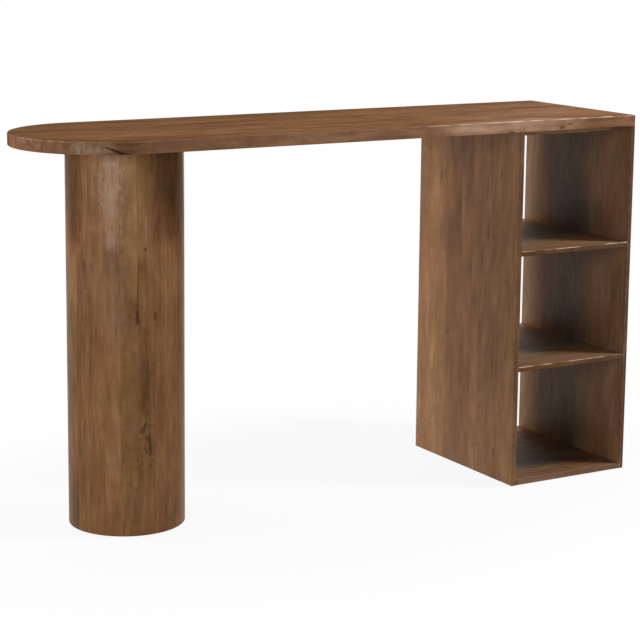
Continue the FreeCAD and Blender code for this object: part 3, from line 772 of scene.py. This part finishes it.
# Grey and pale tints that paint sheen on the square end and on the front edge.
TOP_PAINTED_SHEEN_FILMS = [
    (SQUARE_END, (0.25, 0.32), 0.6, PAINTED_GREY_SHEEN_TINT),
    (PALE_EDGE, (0.05, 0.05), 0.7, PAINTED_SHEEN_TINT),
]
# The top's rounded edge is lightest in these places: rubbing, and mostly painted glints of light on it.
TOP_RUBS_AND_GLINTS = [
    ((on_front(0.40, TOP), on_front(0.90, TOP)), (0.20, 0.30), 1.0),
    ((on_round(-0.895, TOP), on_round(-0.85, TOP)), (0.03, 0.03), 0.4),
]
print(len(TOP_MARKS), "marks on the top")

# %% Marks of the drum
DRUM_MARKS = [
    ((on_drum(-103.5, 0.603), on_drum(-103.5, 0.574)), (0.003, 0.006), 0.75),
    ((on_drum(-102.3, 0.690), on_drum(-103.5, 0.610)), (0.001, 0.003), 0.45),
    ((on_drum(-86.0, 0.590), on_drum(-86.0, 0.577)), (0.004, 0.004), 0.6),
    ((on_drum(-95.5, 0.305), on_drum(-100.1, 0.282)), (0.004, 0.006), 0.65),
    ((on_drum(-94.1, 0.266), on_drum(-91.9, 0.252)), (0.007, 0.003), 0.55),
    ((on_drum(-92.6, 0.243), on_drum(-89.6, 0.216)), (0.005, 0.002), 0.45),
    ((on_drum(-96.7, 0.238), on_drum(-94.1, 0.222)), (0.003, 0.003), 0.40),
    ((on_drum(-157.0, 0.725), on_drum(-157.0, 0.655)), (0.003, 0.004), 0.45),
    ((on_drum(-95.5, 0.763), on_drum(-95.5, 0.759)), (0.003, 0.003), 0.7),
    ((on_drum(-57.5, 0.796), on_drum(-57.5, 0.789)), (0.003, 0.003), 0.7),
    ((on_drum(-64.0, 0.890), on_drum(-64.0, 0.872)), (0.005, 0.004), 0.6),
]
# The first patch is a darker stave. The rest is painted light and shade: darker high up on both sides, where
# the top shades the drum, with a darker stave in the right one; lighter high up at the front left and the
# front; darker down both rims.
DRUM_STAINS_AND_PAINTED_LIGHT = [
    ((on_drum(-95.2, 0.540), on_drum(-95.9, 0.335)), (0.020, 0.016), -0.15),
    ((on_drum(-67.1, 1.010), on_drum(-64.4, 0.810)), (0.066, 0.050), -0.32),
    ((on_drum(-176.3, 1.000), on_drum(-176.3, 0.800)), (0.055, 0.045), -0.27),
    ((on_drum(-127.9, 1.000), on_drum(-127.9, 0.780)), (0.030, 0.022), 0.15),
    ((on_drum(-106.9, 1.000), on_drum(-103.1, 0.760)), (0.045, 0.030), 0.20),
    ((on_drum(-174.4, 0.050), on_drum(-174.4, 0.560)), (0.060, 0.050), -0.13),
    ((on_drum(-55.9, 0.050), on_drum(-55.9, 0.600)), (0.034, 0.030), -0.10),
]
DRUM_WHORLS = [
    (on_drum(-94.8, 0.250), 0.030, 0.20),
    (on_drum(-103.1, 0.588), 0.016, 0.16),
]
# A pale, cloudy painted sheen high on the drum's front left.
DRUM_PAINTED_SHEEN = [
    ((on_drum(-131.1, 1.010), on_drum(-131.1, 0.900)), (0.040, 0.036), 0.36),
    ((on_drum(-127.9, 1.000), on_drum(-127.9, 0.790)), (0.028, 0.026), 0.28),
    ((on_drum(-125.0, 0.960), on_drum(-123.4, 0.560)), (0.034, 0.036), 0.15),
]
# A warm tint that goes with the painted shade high on the drum's left.
DRUM_PAINTED_SHADE_FILMS = [((on_drum(-173.0, 1.000), on_drum(-173.0, 0.780)), (0.055, 0.050), 0.9, RUSSET)]
print(len(DRUM_MARKS), "marks on the drum")

# %% Marks of the cabinet
CABINET_MARKS = [
    ((on_left_panel(-0.108, 0.724), on_left_panel(-0.108, 0.704)), (0.003, 0.005), 0.6),
    ((on_left_panel(0.136, 0.862), on_left_panel(0.136, 0.846)), (0.005, 0.003), 0.45),
    ((on_left_panel(-0.164, 0.902), on_left_panel(-0.164, 0.886)), (0.003, 0.004), 0.6),
    ((on_left_panel(-0.158, 0.090), on_left_panel(-0.158, 0.066)), (0.005, 0.003), 0.55),
    ((on_left_panel(0.017, 0.205), on_left_panel(0.017, 0.189)), (0.004, 0.004), 0.5),
    ((on_left_panel(0.093, 0.402), on_left_panel(0.093, 0.388)), (0.004, 0.005), 0.45),
]
# All painted light and shade. On the left panel: lighter towards the back and the bottom and darker high in
# the middle, partly board tone. Inside the right panel: a lit strip at the back, darker high in the middle,
# lighter low at the front. The shelves and the bottom are darker where shadows fall on them, and the front
# edges of the lower shelf and the bottom panel are lit.
CABINET_PAINTED_LIGHT = [
    ((on_left_panel(0.200, 0.100), on_left_panel(0.180, 0.900)), (0.11, 0.09), 0.20),
    ((on_left_panel(-0.200, 0.000), on_left_panel(0.040, 0.000)), (0.24, 0.22), 0.18),
    ((on_left_panel(-0.060, 0.420), on_left_panel(-0.060, 1.000)), (0.16, 0.18), -0.06),
    ((inside_right(0.240, 0.020), inside_right(0.240, 1.000)), (0.07, 0.07), 0.33),
    ((inside_right(0.030, 0.600), inside_right(0.030, 1.000)), (0.10, 0.12), -0.07),
    ((inside_right(-0.200, 0.050), inside_right(-0.200, 0.300)), (0.07, 0.07), 0.08),
    (((0.520, 0.120, UPPER_LEVEL), (0.700, 0.040, UPPER_LEVEL)), (0.08, 0.08), -0.20),
    (((0.780, 0.080, UPPER_LEVEL), inside_right(0.000, 0.720)), (0.12, 0.11), -0.16),
    (((0.690, -0.125, LOWER_LEVEL), (0.840, -0.165, LOWER_LEVEL)), (0.040, 0.030), -0.20),
    (((0.620, -0.110, BOTTOM_LEVEL), (0.820, -0.140, BOTTOM_LEVEL)), (0.055, 0.040), -0.36),
    ((on_front(0.520, 0.342), on_front(0.880, 0.342)), (0.012, 0.012), 0.14),
    ((on_front(0.525, 0.008), on_front(0.880, 0.008)), (0.016, 0.016), 0.42),
]
CABINET_WHORLS = [
    (on_left_panel(-0.108, 0.713), 0.016, 0.16),
    (on_left_panel(0.136, 0.854), 0.018, 0.16),
]
# Tints that paint light and shade: warmer at the left panel's back, partly board tone; grey reflections
# inside the right panel; dark shade in the corners of the shelves and the bottom; grey shade and a pale sheen
# at the bottom's front.
CABINET_PAINTED_LIGHT_FILMS = [
    ((on_left_panel(0.200, 0.020), on_left_panel(0.190, 0.980)), (0.11, 0.10), 0.9, AMBER),
    ((inside_right(0.030, 0.100), inside_right(0.030, 1.000)), (0.11, 0.13), 0.9, PAINTED_REFLECTION_TINT),
    ((inside_right(-0.200, 0.100), inside_right(-0.200, 1.000)), (0.09, 0.09), 0.6, PAINTED_GREY_SHEEN_TINT),
    (((0.740, -0.020, UPPER_LEVEL), inside_right(-0.040, 0.710)), (0.090, 0.090), 0.9, PAINTED_SHADE_TINT),
    (((0.680, -0.080, LOWER_LEVEL), inside_right(-0.030, 0.390)), (0.080, 0.090), 0.9, PAINTED_SHADE_TINT),
    (((0.630, -0.110, BOTTOM_LEVEL), inside_right(-0.040, 0.070)), (0.080, 0.090), 0.9, PAINTED_SHADE_TINT),
    (((0.580, -0.195, BOTTOM_LEVEL), (0.660, -0.195, BOTTOM_LEVEL)), (0.045, 0.045), 0.9, PAINTED_GREY_SHADE_TINT),
    (((0.525, -0.245, 0.010), (0.880, -0.235, 0.010)), (0.022, 0.040), 0.9, PAINTED_SHEEN_TINT),
]
# A grey painted shade and a pale painted sheen near the front of each shelf.
for level in (UPPER_LEVEL, LOWER_LEVEL):
    grey_line = ((0.605, -0.140, level), (0.740, -0.165, level))
    pale_line = ((0.640, -0.220, level), (0.885, -0.205, level))
    CABINET_PAINTED_LIGHT_FILMS.append((grey_line, (0.060, 0.050), 0.9, PAINTED_GREY_SHADE_TINT))
    CABINET_PAINTED_LIGHT_FILMS.append((pale_line, (0.022, 0.055), 0.9, PAINTED_SHEEN_TINT))
print(len(CABINET_MARKS), "marks on the cabinet and", len(CABINET_PAINTED_LIGHT_FILMS), "films of polish")

# %% [markdown]
# ## The brown wood
# The wood has a close grain with soft, broad streaks, fine darker fibres, short pores and a faint sheen
# across the grain. Each of these is noise in the log's space, stretched along the grain by its own amount.
# They add up to one lightness, and a colour ramp turns that into browns. Growth rings come from the
# distance to the log's heart, bent a little around knots. A satin lacquer lies over it all, so roughness
# changes only slightly, apart from the shelves, which are duller all over.

# %% Knots and rings in a log
# Each pattern's repeats in a metre: along the grain, and twice across it.
KNOT_SCALE = (4.5, 9, 9)
KNOT_CHANCE = (0.90, 0.91)
KNOT_OUTLINE = (0.12, 0.02)
SWIRL_OUTLINE = (0.55, 0.05)
SWIRL_BEND = 0.014
RINGS_PER_METRE = 80


def scattered_knots(bent):
    """Knots in a few places of a log, and the wider swirl around each."""
    cells = {"Vector": stretched(bent, KNOT_SCALE), "Scale": 1.0}
    near = bent.node("ShaderNodeTexVoronoi", {}, cells, "Distance")
    chance = bent.node("ShaderNodeTexVoronoi", {}, cells, "Color")
    chosen = step(bent.node("ShaderNodeSeparateXYZ", {}, {0: chance}, "X"), *KNOT_CHANCE)
    return step(near, *KNOT_OUTLINE) * chosen, step(near, *SWIRL_OUTLINE) * chosen


def growth_rings(bent, swirl):
    """Rings about the log's heart, pushed aside by knots."""
    across = stretched(bent, (0, 1, 1))
    radius = bent.node("ShaderNodeVectorMath", {"operation": "LENGTH"}, {0: across}, "Value")
    inputs = {"W": (radius + swirl * SWIRL_BEND) * RINGS_PER_METRE, "Scale": 1.0, "Detail": 2.0}
    return bent.node("ShaderNodeTexNoise", {"noise_dimensions": "1D"}, inputs, "Fac") - 0.5


print(RINGS_PER_METRE, "growth rings to the metre")

# %% Grain as a lightness
WAVER_SCALE = (2.4, 9, 9)
WAVER = (0.05, 0.05, 0.05)
PATCH_SCALE = (3.6, 12, 12)
FLAME_SCALE = (11, 38, 38)
STREAK_SCALE = (9, 75, 75)
STREAK_DRIFT_SCALE = (2.5, 18, 18)
STREAK_LEAST = 0.08
STREAK_MORE = 0.44
FIBRE_SCALE = (55, 300, 300)
MOTTLE_SCALE = (70, 26, 26)
FLECK_SCALE = (24, 105, 105)
PORE_SCALE = (34, 700, 700)


def grain(log, figure):
    """The wood's lightness from its place in the log, its fibres, its pores and its sheen."""
    waver = noise(log, WAVER_SCALE, 2, colour=True)
    bent = log.node("ShaderNodeVectorMath", {"operation": "MULTIPLY_ADD"}, {0: waver, 1: WAVER, 2: log})
    knot, swirl = scattered_knots(bent)
    rings = growth_rings(bent, swirl)
    patches = noise(bent, PATCH_SCALE, 2)
    flames = noise(bent, FLAME_SCALE, 4, rough=0.6, twist=0.7)
    streaks = noise(bent, STREAK_SCALE, 5, rough=0.6, twist=0.3)
    strong = step(noise(bent, STREAK_DRIFT_SCALE, 2), -0.14, 0.18) * STREAK_MORE + STREAK_LEAST
    fibres = noise(bent, FIBRE_SCALE, 2)
    mottle = noise(bent, MOTTLE_SCALE, 2) * figure
    flecks = step(noise(bent, FLECK_SCALE, 2), 0.15, 0.30)
    pores = step(noise(log, PORE_SCALE, 1), 0.14, 0.28)
    light = patches * 0.46 + flames * 0.54 + streaks * strong + rings * 0.24 + fibres * 0.08 + mottle * 0.18
    return light - flecks * 0.18 - pores * 0.06 - knot * 0.35, fibres, pores, mottle


print("pores repeat", PORE_SCALE[1], "times in a metre across the grain")

# %% Stains, painted light, tints and worn edges
SOFT_PATCH_RUFFLE = 0.4
HUE_SCALE = (6, 26, 26)
HUE_DRIFT = 2.2
BOARD_WARMTH = 0.35
CHILL_SCALE = (8, 30, 30)
CLOUD_SCALE = (70, 70, 30)
BROKEN_SCALE = (16, 60, 60)
RUB_AND_GLINT_LEAST = 0.10
RUB_AND_GLINT_MORE = 0.8
GLUE_DARKNESS = 0.6


def soft_patch(place, ruffle, shown, line, widths):
    """How much of a soft patch a point has: a stain, painted light and shade, or a film."""
    return reach(place, ruffle * SOFT_PATCH_RUFFLE, line, widths, SOFT) * shown


def hue(log, warmth, tints):
    """A tint that drifts between two, within a board and from board to board, and cools in places."""
    drift = noise(log, HUE_SCALE, 3) * HUE_DRIFT
    chill = noise(log, CHILL_SCALE, 3, rough=0.6)
    return blend(step(chill, -0.05, 0.25), blend(warmth * BOARD_WARMTH + drift + 0.5, *tints), COOL)


def weathered(brown, place, ruffle, wear, marks, painted_sheen, rubs_and_glints):
    """The wood's colour with painted sheen, dark marks, rubbed edges with painted glints, and glue lines."""
    # A pale, cloudy painted sheen.
    cloud = step(noise(place, CLOUD_SCALE, 4, rough=0.6), -0.30, 0.26)
    for line, widths, strength in painted_sheen:
        brown = blend(reach(place, ruffle, line, widths, SOFT) * cloud * strength, brown, PAINTED_SHEEN_COLOUR)
    for line, widths, strength in marks:
        brown = blend(reach(place, ruffle, line, widths, SHARP) * strength, brown, HEARTWOOD)
    # Rubbed edges are lighter, and the lighter line also paints glints, most where listed.
    broken = step(noise(place, BROKEN_SCALE, 2), -0.06, 0.08)
    rubbing_and_glint = wear * (broken * RUB_AND_GLINT_MORE + RUB_AND_GLINT_LEAST)
    if rubs_and_glints:
        rub_and_glint_reach = sum(reach(place, 0.0, line, widths, SOFT) * strength for line, widths, strength in rubs_and_glints)
        rubbing_and_glint = rubbing_and_glint * (rub_and_glint_reach + RUB_AND_GLINT_LEAST)
    brown = blend(rubbing_and_glint, brown, RUBBED_WOOD_AND_GLINT)
    return blend(wear * -GLUE_DARKNESS, brown, GLUE_LINE)


print("glue lines are", GLUE_DARKNESS, "of the way to their own colour")

# %% Wood finishes
RUFFLE_SCALE = (140, 140, 70)
RUFFLE = 1.8
BOARD_CONTRAST = 0.05
SATIN = 0.42
DULLER = 0.33
GRAIN_BUMP = (0.16, 0.0006)


def wood(name, level, gloss, tints, marks, stains_and_painted_light, whorls, painted_sheen=(), painted_light_films=(), rubs_and_glints=(), edges=None, side=None):
    """A finish of brown boards. Edges says how much darker sawn edges are, and how much greyer with a painted
    sheen; side masks the painted light and shade.
    """
    material, start = new_finish(name)
    log = board_value(start, "log", "Vector")
    tone = board_value(start, "tone", "Vector")
    wear = board_value(start, "wear", "Fac")
    dull = board_value(start, "dull", "Fac")
    place = table_place(start)
    board_light, warmth, figure = (start.node("ShaderNodeSeparateXYZ", {}, {0: tone}, part) for part in "XYZ")
    ruffle = noise(place, RUFFLE_SCALE, 3) * RUFFLE
    shown = side(place) if side else 1.0
    light, fibres, pores, mottle = grain(log, figure)
    light = light + board_light * BOARD_CONTRAST + level
    tint = hue(log, warmth, tints)
    # Stains and patches of painted light and shade lighten or darken the wood.
    for line, widths, strength in stains_and_painted_light:
        light = light + soft_patch(place, ruffle, shown, line, widths) * strength
    # Outside edges are darker, and greyer with a painted sheen.
    if edges:
        darker, greyer = edges
        outside = rim(place)
        light = light - outside * darker
        tint = blend(outside * greyer, tint, PAINTED_GREY_SHEEN_TINT)
    for centre, size, strength in whorls:
        light = light - whorl(place, ruffle, centre, size) * strength
    # Films paint sheen, reflections and shade as tints, and warm some places.
    for line, widths, strength, film in painted_light_films:
        tint = blend(soft_patch(place, ruffle, shown, line, widths) * strength, tint, film)
    brown = tinted(start.node("ShaderNodeValToRGB", {"stops": BROWNS}, {0: light}), tint)
    brown = weathered(brown, place, ruffle, wear, marks, painted_sheen, rubs_and_glints)
    roughness = fibres * 0.10 - mottle * 0.16 + pores * 0.08 + dull * DULLER + SATIN
    painted(name, brown, roughness, fibres * 0.5 - pores, GRAIN_BUMP, Specular_IOR_Level=gloss)
    return material


finishes = {
    "top_wood": wood(
        "brown_top_wood",
        level=0.55,
        gloss=0.0,
        tints=(MELLOW, ROSY),
        marks=TOP_MARKS,
        stains_and_painted_light=TOP_PAINTED_LIGHT,
        whorls=TOP_WHORLS,
        painted_sheen=TOP_PAINTED_SHEEN,
        painted_light_films=TOP_PAINTED_SHEEN_FILMS,
        rubs_and_glints=TOP_RUBS_AND_GLINTS,
        edges=(0.03, 0.8),
    ),
    "drum_wood": wood(
        "brown_drum_wood",
        level=0.47,
        gloss=0.05,
        tints=(OLIVE, UMBER),
        marks=DRUM_MARKS,
        stains_and_painted_light=DRUM_STAINS_AND_PAINTED_LIGHT,
        whorls=DRUM_WHORLS,
        painted_sheen=DRUM_PAINTED_SHEEN,
        painted_light_films=DRUM_PAINTED_SHADE_FILMS,
    ),
    "cabinet_wood": wood(
        "brown_cabinet_wood",
        level=0.52,
        gloss=0.16,
        tints=(TAWNY, WARM),
        marks=CABINET_MARKS,
        stains_and_painted_light=CABINET_PAINTED_LIGHT,
        whorls=CABINET_WHORLS,
        painted_light_films=CABINET_PAINTED_LIGHT_FILMS,
        edges=(0.32, 0.0),
        side=inner_side,
    ),
}

# %% [markdown]
# ## Hidden woods, metals and nylon
# Discs, dowels and hardware show only from below, but someone may turn the table over. Plywood has bands
# through its thickness, beech has short flecks, zinc plating has a fine cloudy spangle, turned brass has
# fine rings of tool marks, and moulded nylon has a slight grain.

# %% Plywood and beech
PLY_BROWN = (0.40, 0.26, 0.14, 1)
PLY_PALE = (0.54, 0.39, 0.23, 1)
PLY_GRAIN = (0.33, 0.20, 0.10, 1)
PLY_SCALE = (6, 140, 6)
TWO_PLIES = 0.003
BEECH_PALE = (0.57, 0.41, 0.26, 1)
BEECH_FLECK = (0.36, 0.22, 0.12, 1)
BEECH_SCALE = (500, 500, 60)


def plywood(name):
    """Plies that alternate through the height, with a grain on their faces."""
    material, start = new_finish(name)
    place = table_place(start)
    height = start.node("ShaderNodeSeparateXYZ", {}, {0: place}, "Z")
    plies = step(start.math("SINE", height * (2 * math.pi / TWO_PLIES)), -0.3, 0.3)
    figure = noise(place, PLY_SCALE, 3)
    pale = blend(plies, PLY_BROWN, PLY_PALE)
    colour = blend(figure * 1.4 + 0.35, pale, PLY_GRAIN)
    painted(name, colour, figure * 0.2 + 0.7, figure, (0.15, 0.0005))
    return material


def beech(name):
    """Pale turned wood with short dark flecks."""
    material, start = new_finish(name)
    place = table_place(start)
    flecks = step(noise(place, BEECH_SCALE, 1), 0.08, 0.2)
    colour = blend(flecks * 0.5, BEECH_PALE, BEECH_FLECK)
    painted(name, colour, flecks * 0.1 + 0.6, flecks, (0.1, 0.0003))
    return material


finishes["plywood"] = plywood("raw_plywood")
finishes["dowel_wood"] = beech("raw_beech")

# %% Metals and nylon
ZINC_BRIGHT = (0.46, 0.46, 0.45, 1)
ZINC_DULL = (0.32, 0.32, 0.31, 1)
ZINC_SPANGLE = (300, 300, 300)
BRASS_BRIGHT = (0.78, 0.58, 0.27, 1)
BRASS_DULL = (0.62, 0.44, 0.18, 1)
BRASS_TURNING = (40, 40, 2500)
NYLON_DARK = (0.050, 0.041, 0.036, 1)
NYLON_PALE = (0.072, 0.060, 0.054, 1)
NYLON_BEAD = (1400, 1400, 1400)


def metal(name, bright, dull, spangle, roughness):
    """A metal whose tone and gloss drift over a cloudy pattern."""
    material, start = new_finish(name)
    place = table_place(start)
    cloud = noise(place, spangle, 3)
    colour = blend(cloud + 0.5, bright, dull)
    painted(name, colour, cloud * 0.25 + roughness, cloud, (0.08, 0.0002), Metallic=1.0)
    return material


def nylon(name):
    """Dark moulded plastic with a fine grain."""
    material, start = new_finish(name)
    place = table_place(start)
    bead = noise(place, NYLON_BEAD, 1)
    colour = blend(bead + 0.5, NYLON_DARK, NYLON_PALE)
    painted(name, colour, bead * 0.2 + 0.55, bead, (0.2, 0.0002))
    return material


finishes["zinc_steel"] = metal("zinc_plating", ZINC_BRIGHT, ZINC_DULL, ZINC_SPANGLE, roughness=0.42)
finishes["insert_brass"] = metal("turned_brass", BRASS_BRIGHT, BRASS_DULL, BRASS_TURNING, roughness=0.30)
finishes["nylon"] = nylon("dark_nylon")

# %% Put the finishes on
for slot, pieces in pieces_by_slot.items():
    for piece in pieces:
        piece.data.materials.append(finishes[slot])
for part in frame["record"]["subparts"]:
    node = frame["nodes"][part["node"]]
    for material_slot in node.material_slots:
        material_slot.material = finishes[part["material_slot"]]
print(len(finishes), "finishes on", len(frame["nodes"]), "nodes")

# %% [markdown]
# ## The floor and the background
# The table stands on a plain white floor in front of plain white. Light alone would have to be very strong
# to make a floor look that white, and it would bleach the wood. Instead, the floor gives off most of the
# white itself, and only for rays that come from the camera or from a reflection. The rest of its brightness
# is real, so it keeps the table's shadow. Further out it fades to the background's white, and no horizon
# shows.

# %% Floor
FLOOR_SIZE = 40
FLOOR_GREY = (0.8, 0.8, 0.8, 1)
WHITE = (1, 1, 1, 1)
SHADOW_SHARE = 0.10
SHADOW_SHAPE = (1, 1.6, 1)
SHADOW_FADE = (0.8, 1.8)
DIRECT_RAYS = ("Is Camera Ray", "Is Glossy Ray", "Is Transmission Ray")


def seen_directly(start):
    """1 for rays from the camera, from a gloss or through glass, and 0 for light on other things."""
    seen, mirrored, through_glass = (start.node("ShaderNodeLightPath", {}, {}, ray) for ray in DIRECT_RAYS)
    return start.math("MAXIMUM", start.math("MAXIMUM", seen, mirrored), through_glass)


def pale_floor():
    """White that keeps a shadow near the table."""
    material, start = new_finish("pale_floor")
    place = table_place(start)
    squeezed = stretched(place, SHADOW_SHAPE)
    away = start.node("ShaderNodeVectorMath", {"operation": "LENGTH"}, {0: squeezed}, "Value")
    own_white = step(away, *SHADOW_FADE) * SHADOW_SHARE + (1 - SHADOW_SHARE)
    plain = start.node("ShaderNodeBsdfDiffuse", {}, {"Color": FLOOR_GREY})
    white = start.node("ShaderNodeEmission", {}, {"Color": WHITE, "Strength": 1.0})
    inputs = {0: own_white * seen_directly(start), 1: plain, 2: white}
    surface = start.node("ShaderNodeMixShader", {}, inputs)
    start.node("ShaderNodeOutputMaterial", {}, {"Surface": surface})
    return material


bm = bmesh.new()
bmesh.ops.create_grid(bm, x_segments=1, y_segments=1, size=FLOOR_SIZE / 2)
floor_mesh = bpy.data.meshes.new("floor")
bm.to_mesh(floor_mesh)
bm.free()
floor = bpy.data.objects.new("floor", floor_mesh)
floor.data.materials.append(pale_floor())
scene.collection.objects.link(floor)
print("floor of", FLOOR_SIZE, "m")

# %% World
AMBIENT = 0.20
world = bpy.data.worlds.new("studio")
world.use_nodes = True
world.node_tree.nodes.clear()
scene.world = world
start = Shade(world.node_tree)
strength = seen_directly(start) * (1 - AMBIENT) + AMBIENT
sky = start.node("ShaderNodeBackground", {}, {"Color": WHITE, "Strength": strength})
start.node("ShaderNodeOutputWorld", {}, {"Surface": sky})
print("ambient light of", AMBIENT)

# %% [markdown]
# ## Lamps
# Two soft lamps on the left light the drum and the cabinet's side, one of them from far enough back to
# reach a little round the rear. A smaller one, high at the right, lights the front edges and the front of
# each shelf, while the cabinet's own right side keeps the insides dark. A weak one at the front right opens
# the shadows, a weak one behind gives the drum its pale rim, and one overhead evens out the top. Each
# lamp's power is worked out from the level wanted at the table: a lamp of so many watts, seen from straight
# ahead, lights a white surface to watts divided by pi squared and by the distance squared.

# %% Lamps
def soft_lamp(name, place, target, size, level):
    """A rectangular lamp that faces a point and lights it to a level."""
    data = bpy.data.lights.new(name, "AREA")
    data.shape = "RECTANGLE"
    data.size, data.size_y = size
    facing = Vector(target) - Vector(place)
    data.energy = level * math.pi ** 2 * facing.length_squared
    lamp = bpy.data.objects.new(name, data)
    turn = facing.to_track_quat("-Z", "Y").to_matrix().to_4x4()
    lamp.matrix_world = Matrix.Translation(place) @ turn
    scene.collection.objects.link(lamp)
    print(name, "has", round(data.energy), "W")


# Each lamp has its place, the point that it faces, the lengths of its sides and its level.
LAMPS = {
    "left_lamp": ((-6.5, 1.2, 1.3), (0.5, 0, 0.5), (3.0, 1.6), 0.30),
    "front_left_lamp": ((-5.0, -3.2, 1.8), (-0.6, 0, 0.6), (1.0, 1.6), 0.32),
    "right_lamp": ((2.8, -1.62, 3.2), (0.7, -0.2, 0.8), (0.6, 0.6), 1.0),
    "right_fill_lamp": ((2.6, -5.4, 1.8), (-0.3, 0, 0.6), (1.5, 1.5), 0.14),
    "back_lamp": ((3.5, 5.2, 1.0), (0, 0, 0.5), (2.0, 1.6), 0.20),
    "overhead_lamp": ((-1.6, 1.2, 4.2), (-0.6, 0, 1), (2.5, 2.5), 0.48),
}
for name, (place, target, size, level) in LAMPS.items():
    soft_lamp(name, place, target, size, level)

# %% [markdown]
# ## Last update
# The view layer is brought up to date once more at the end.

# %% Finish
bpy.context.view_layer.update()
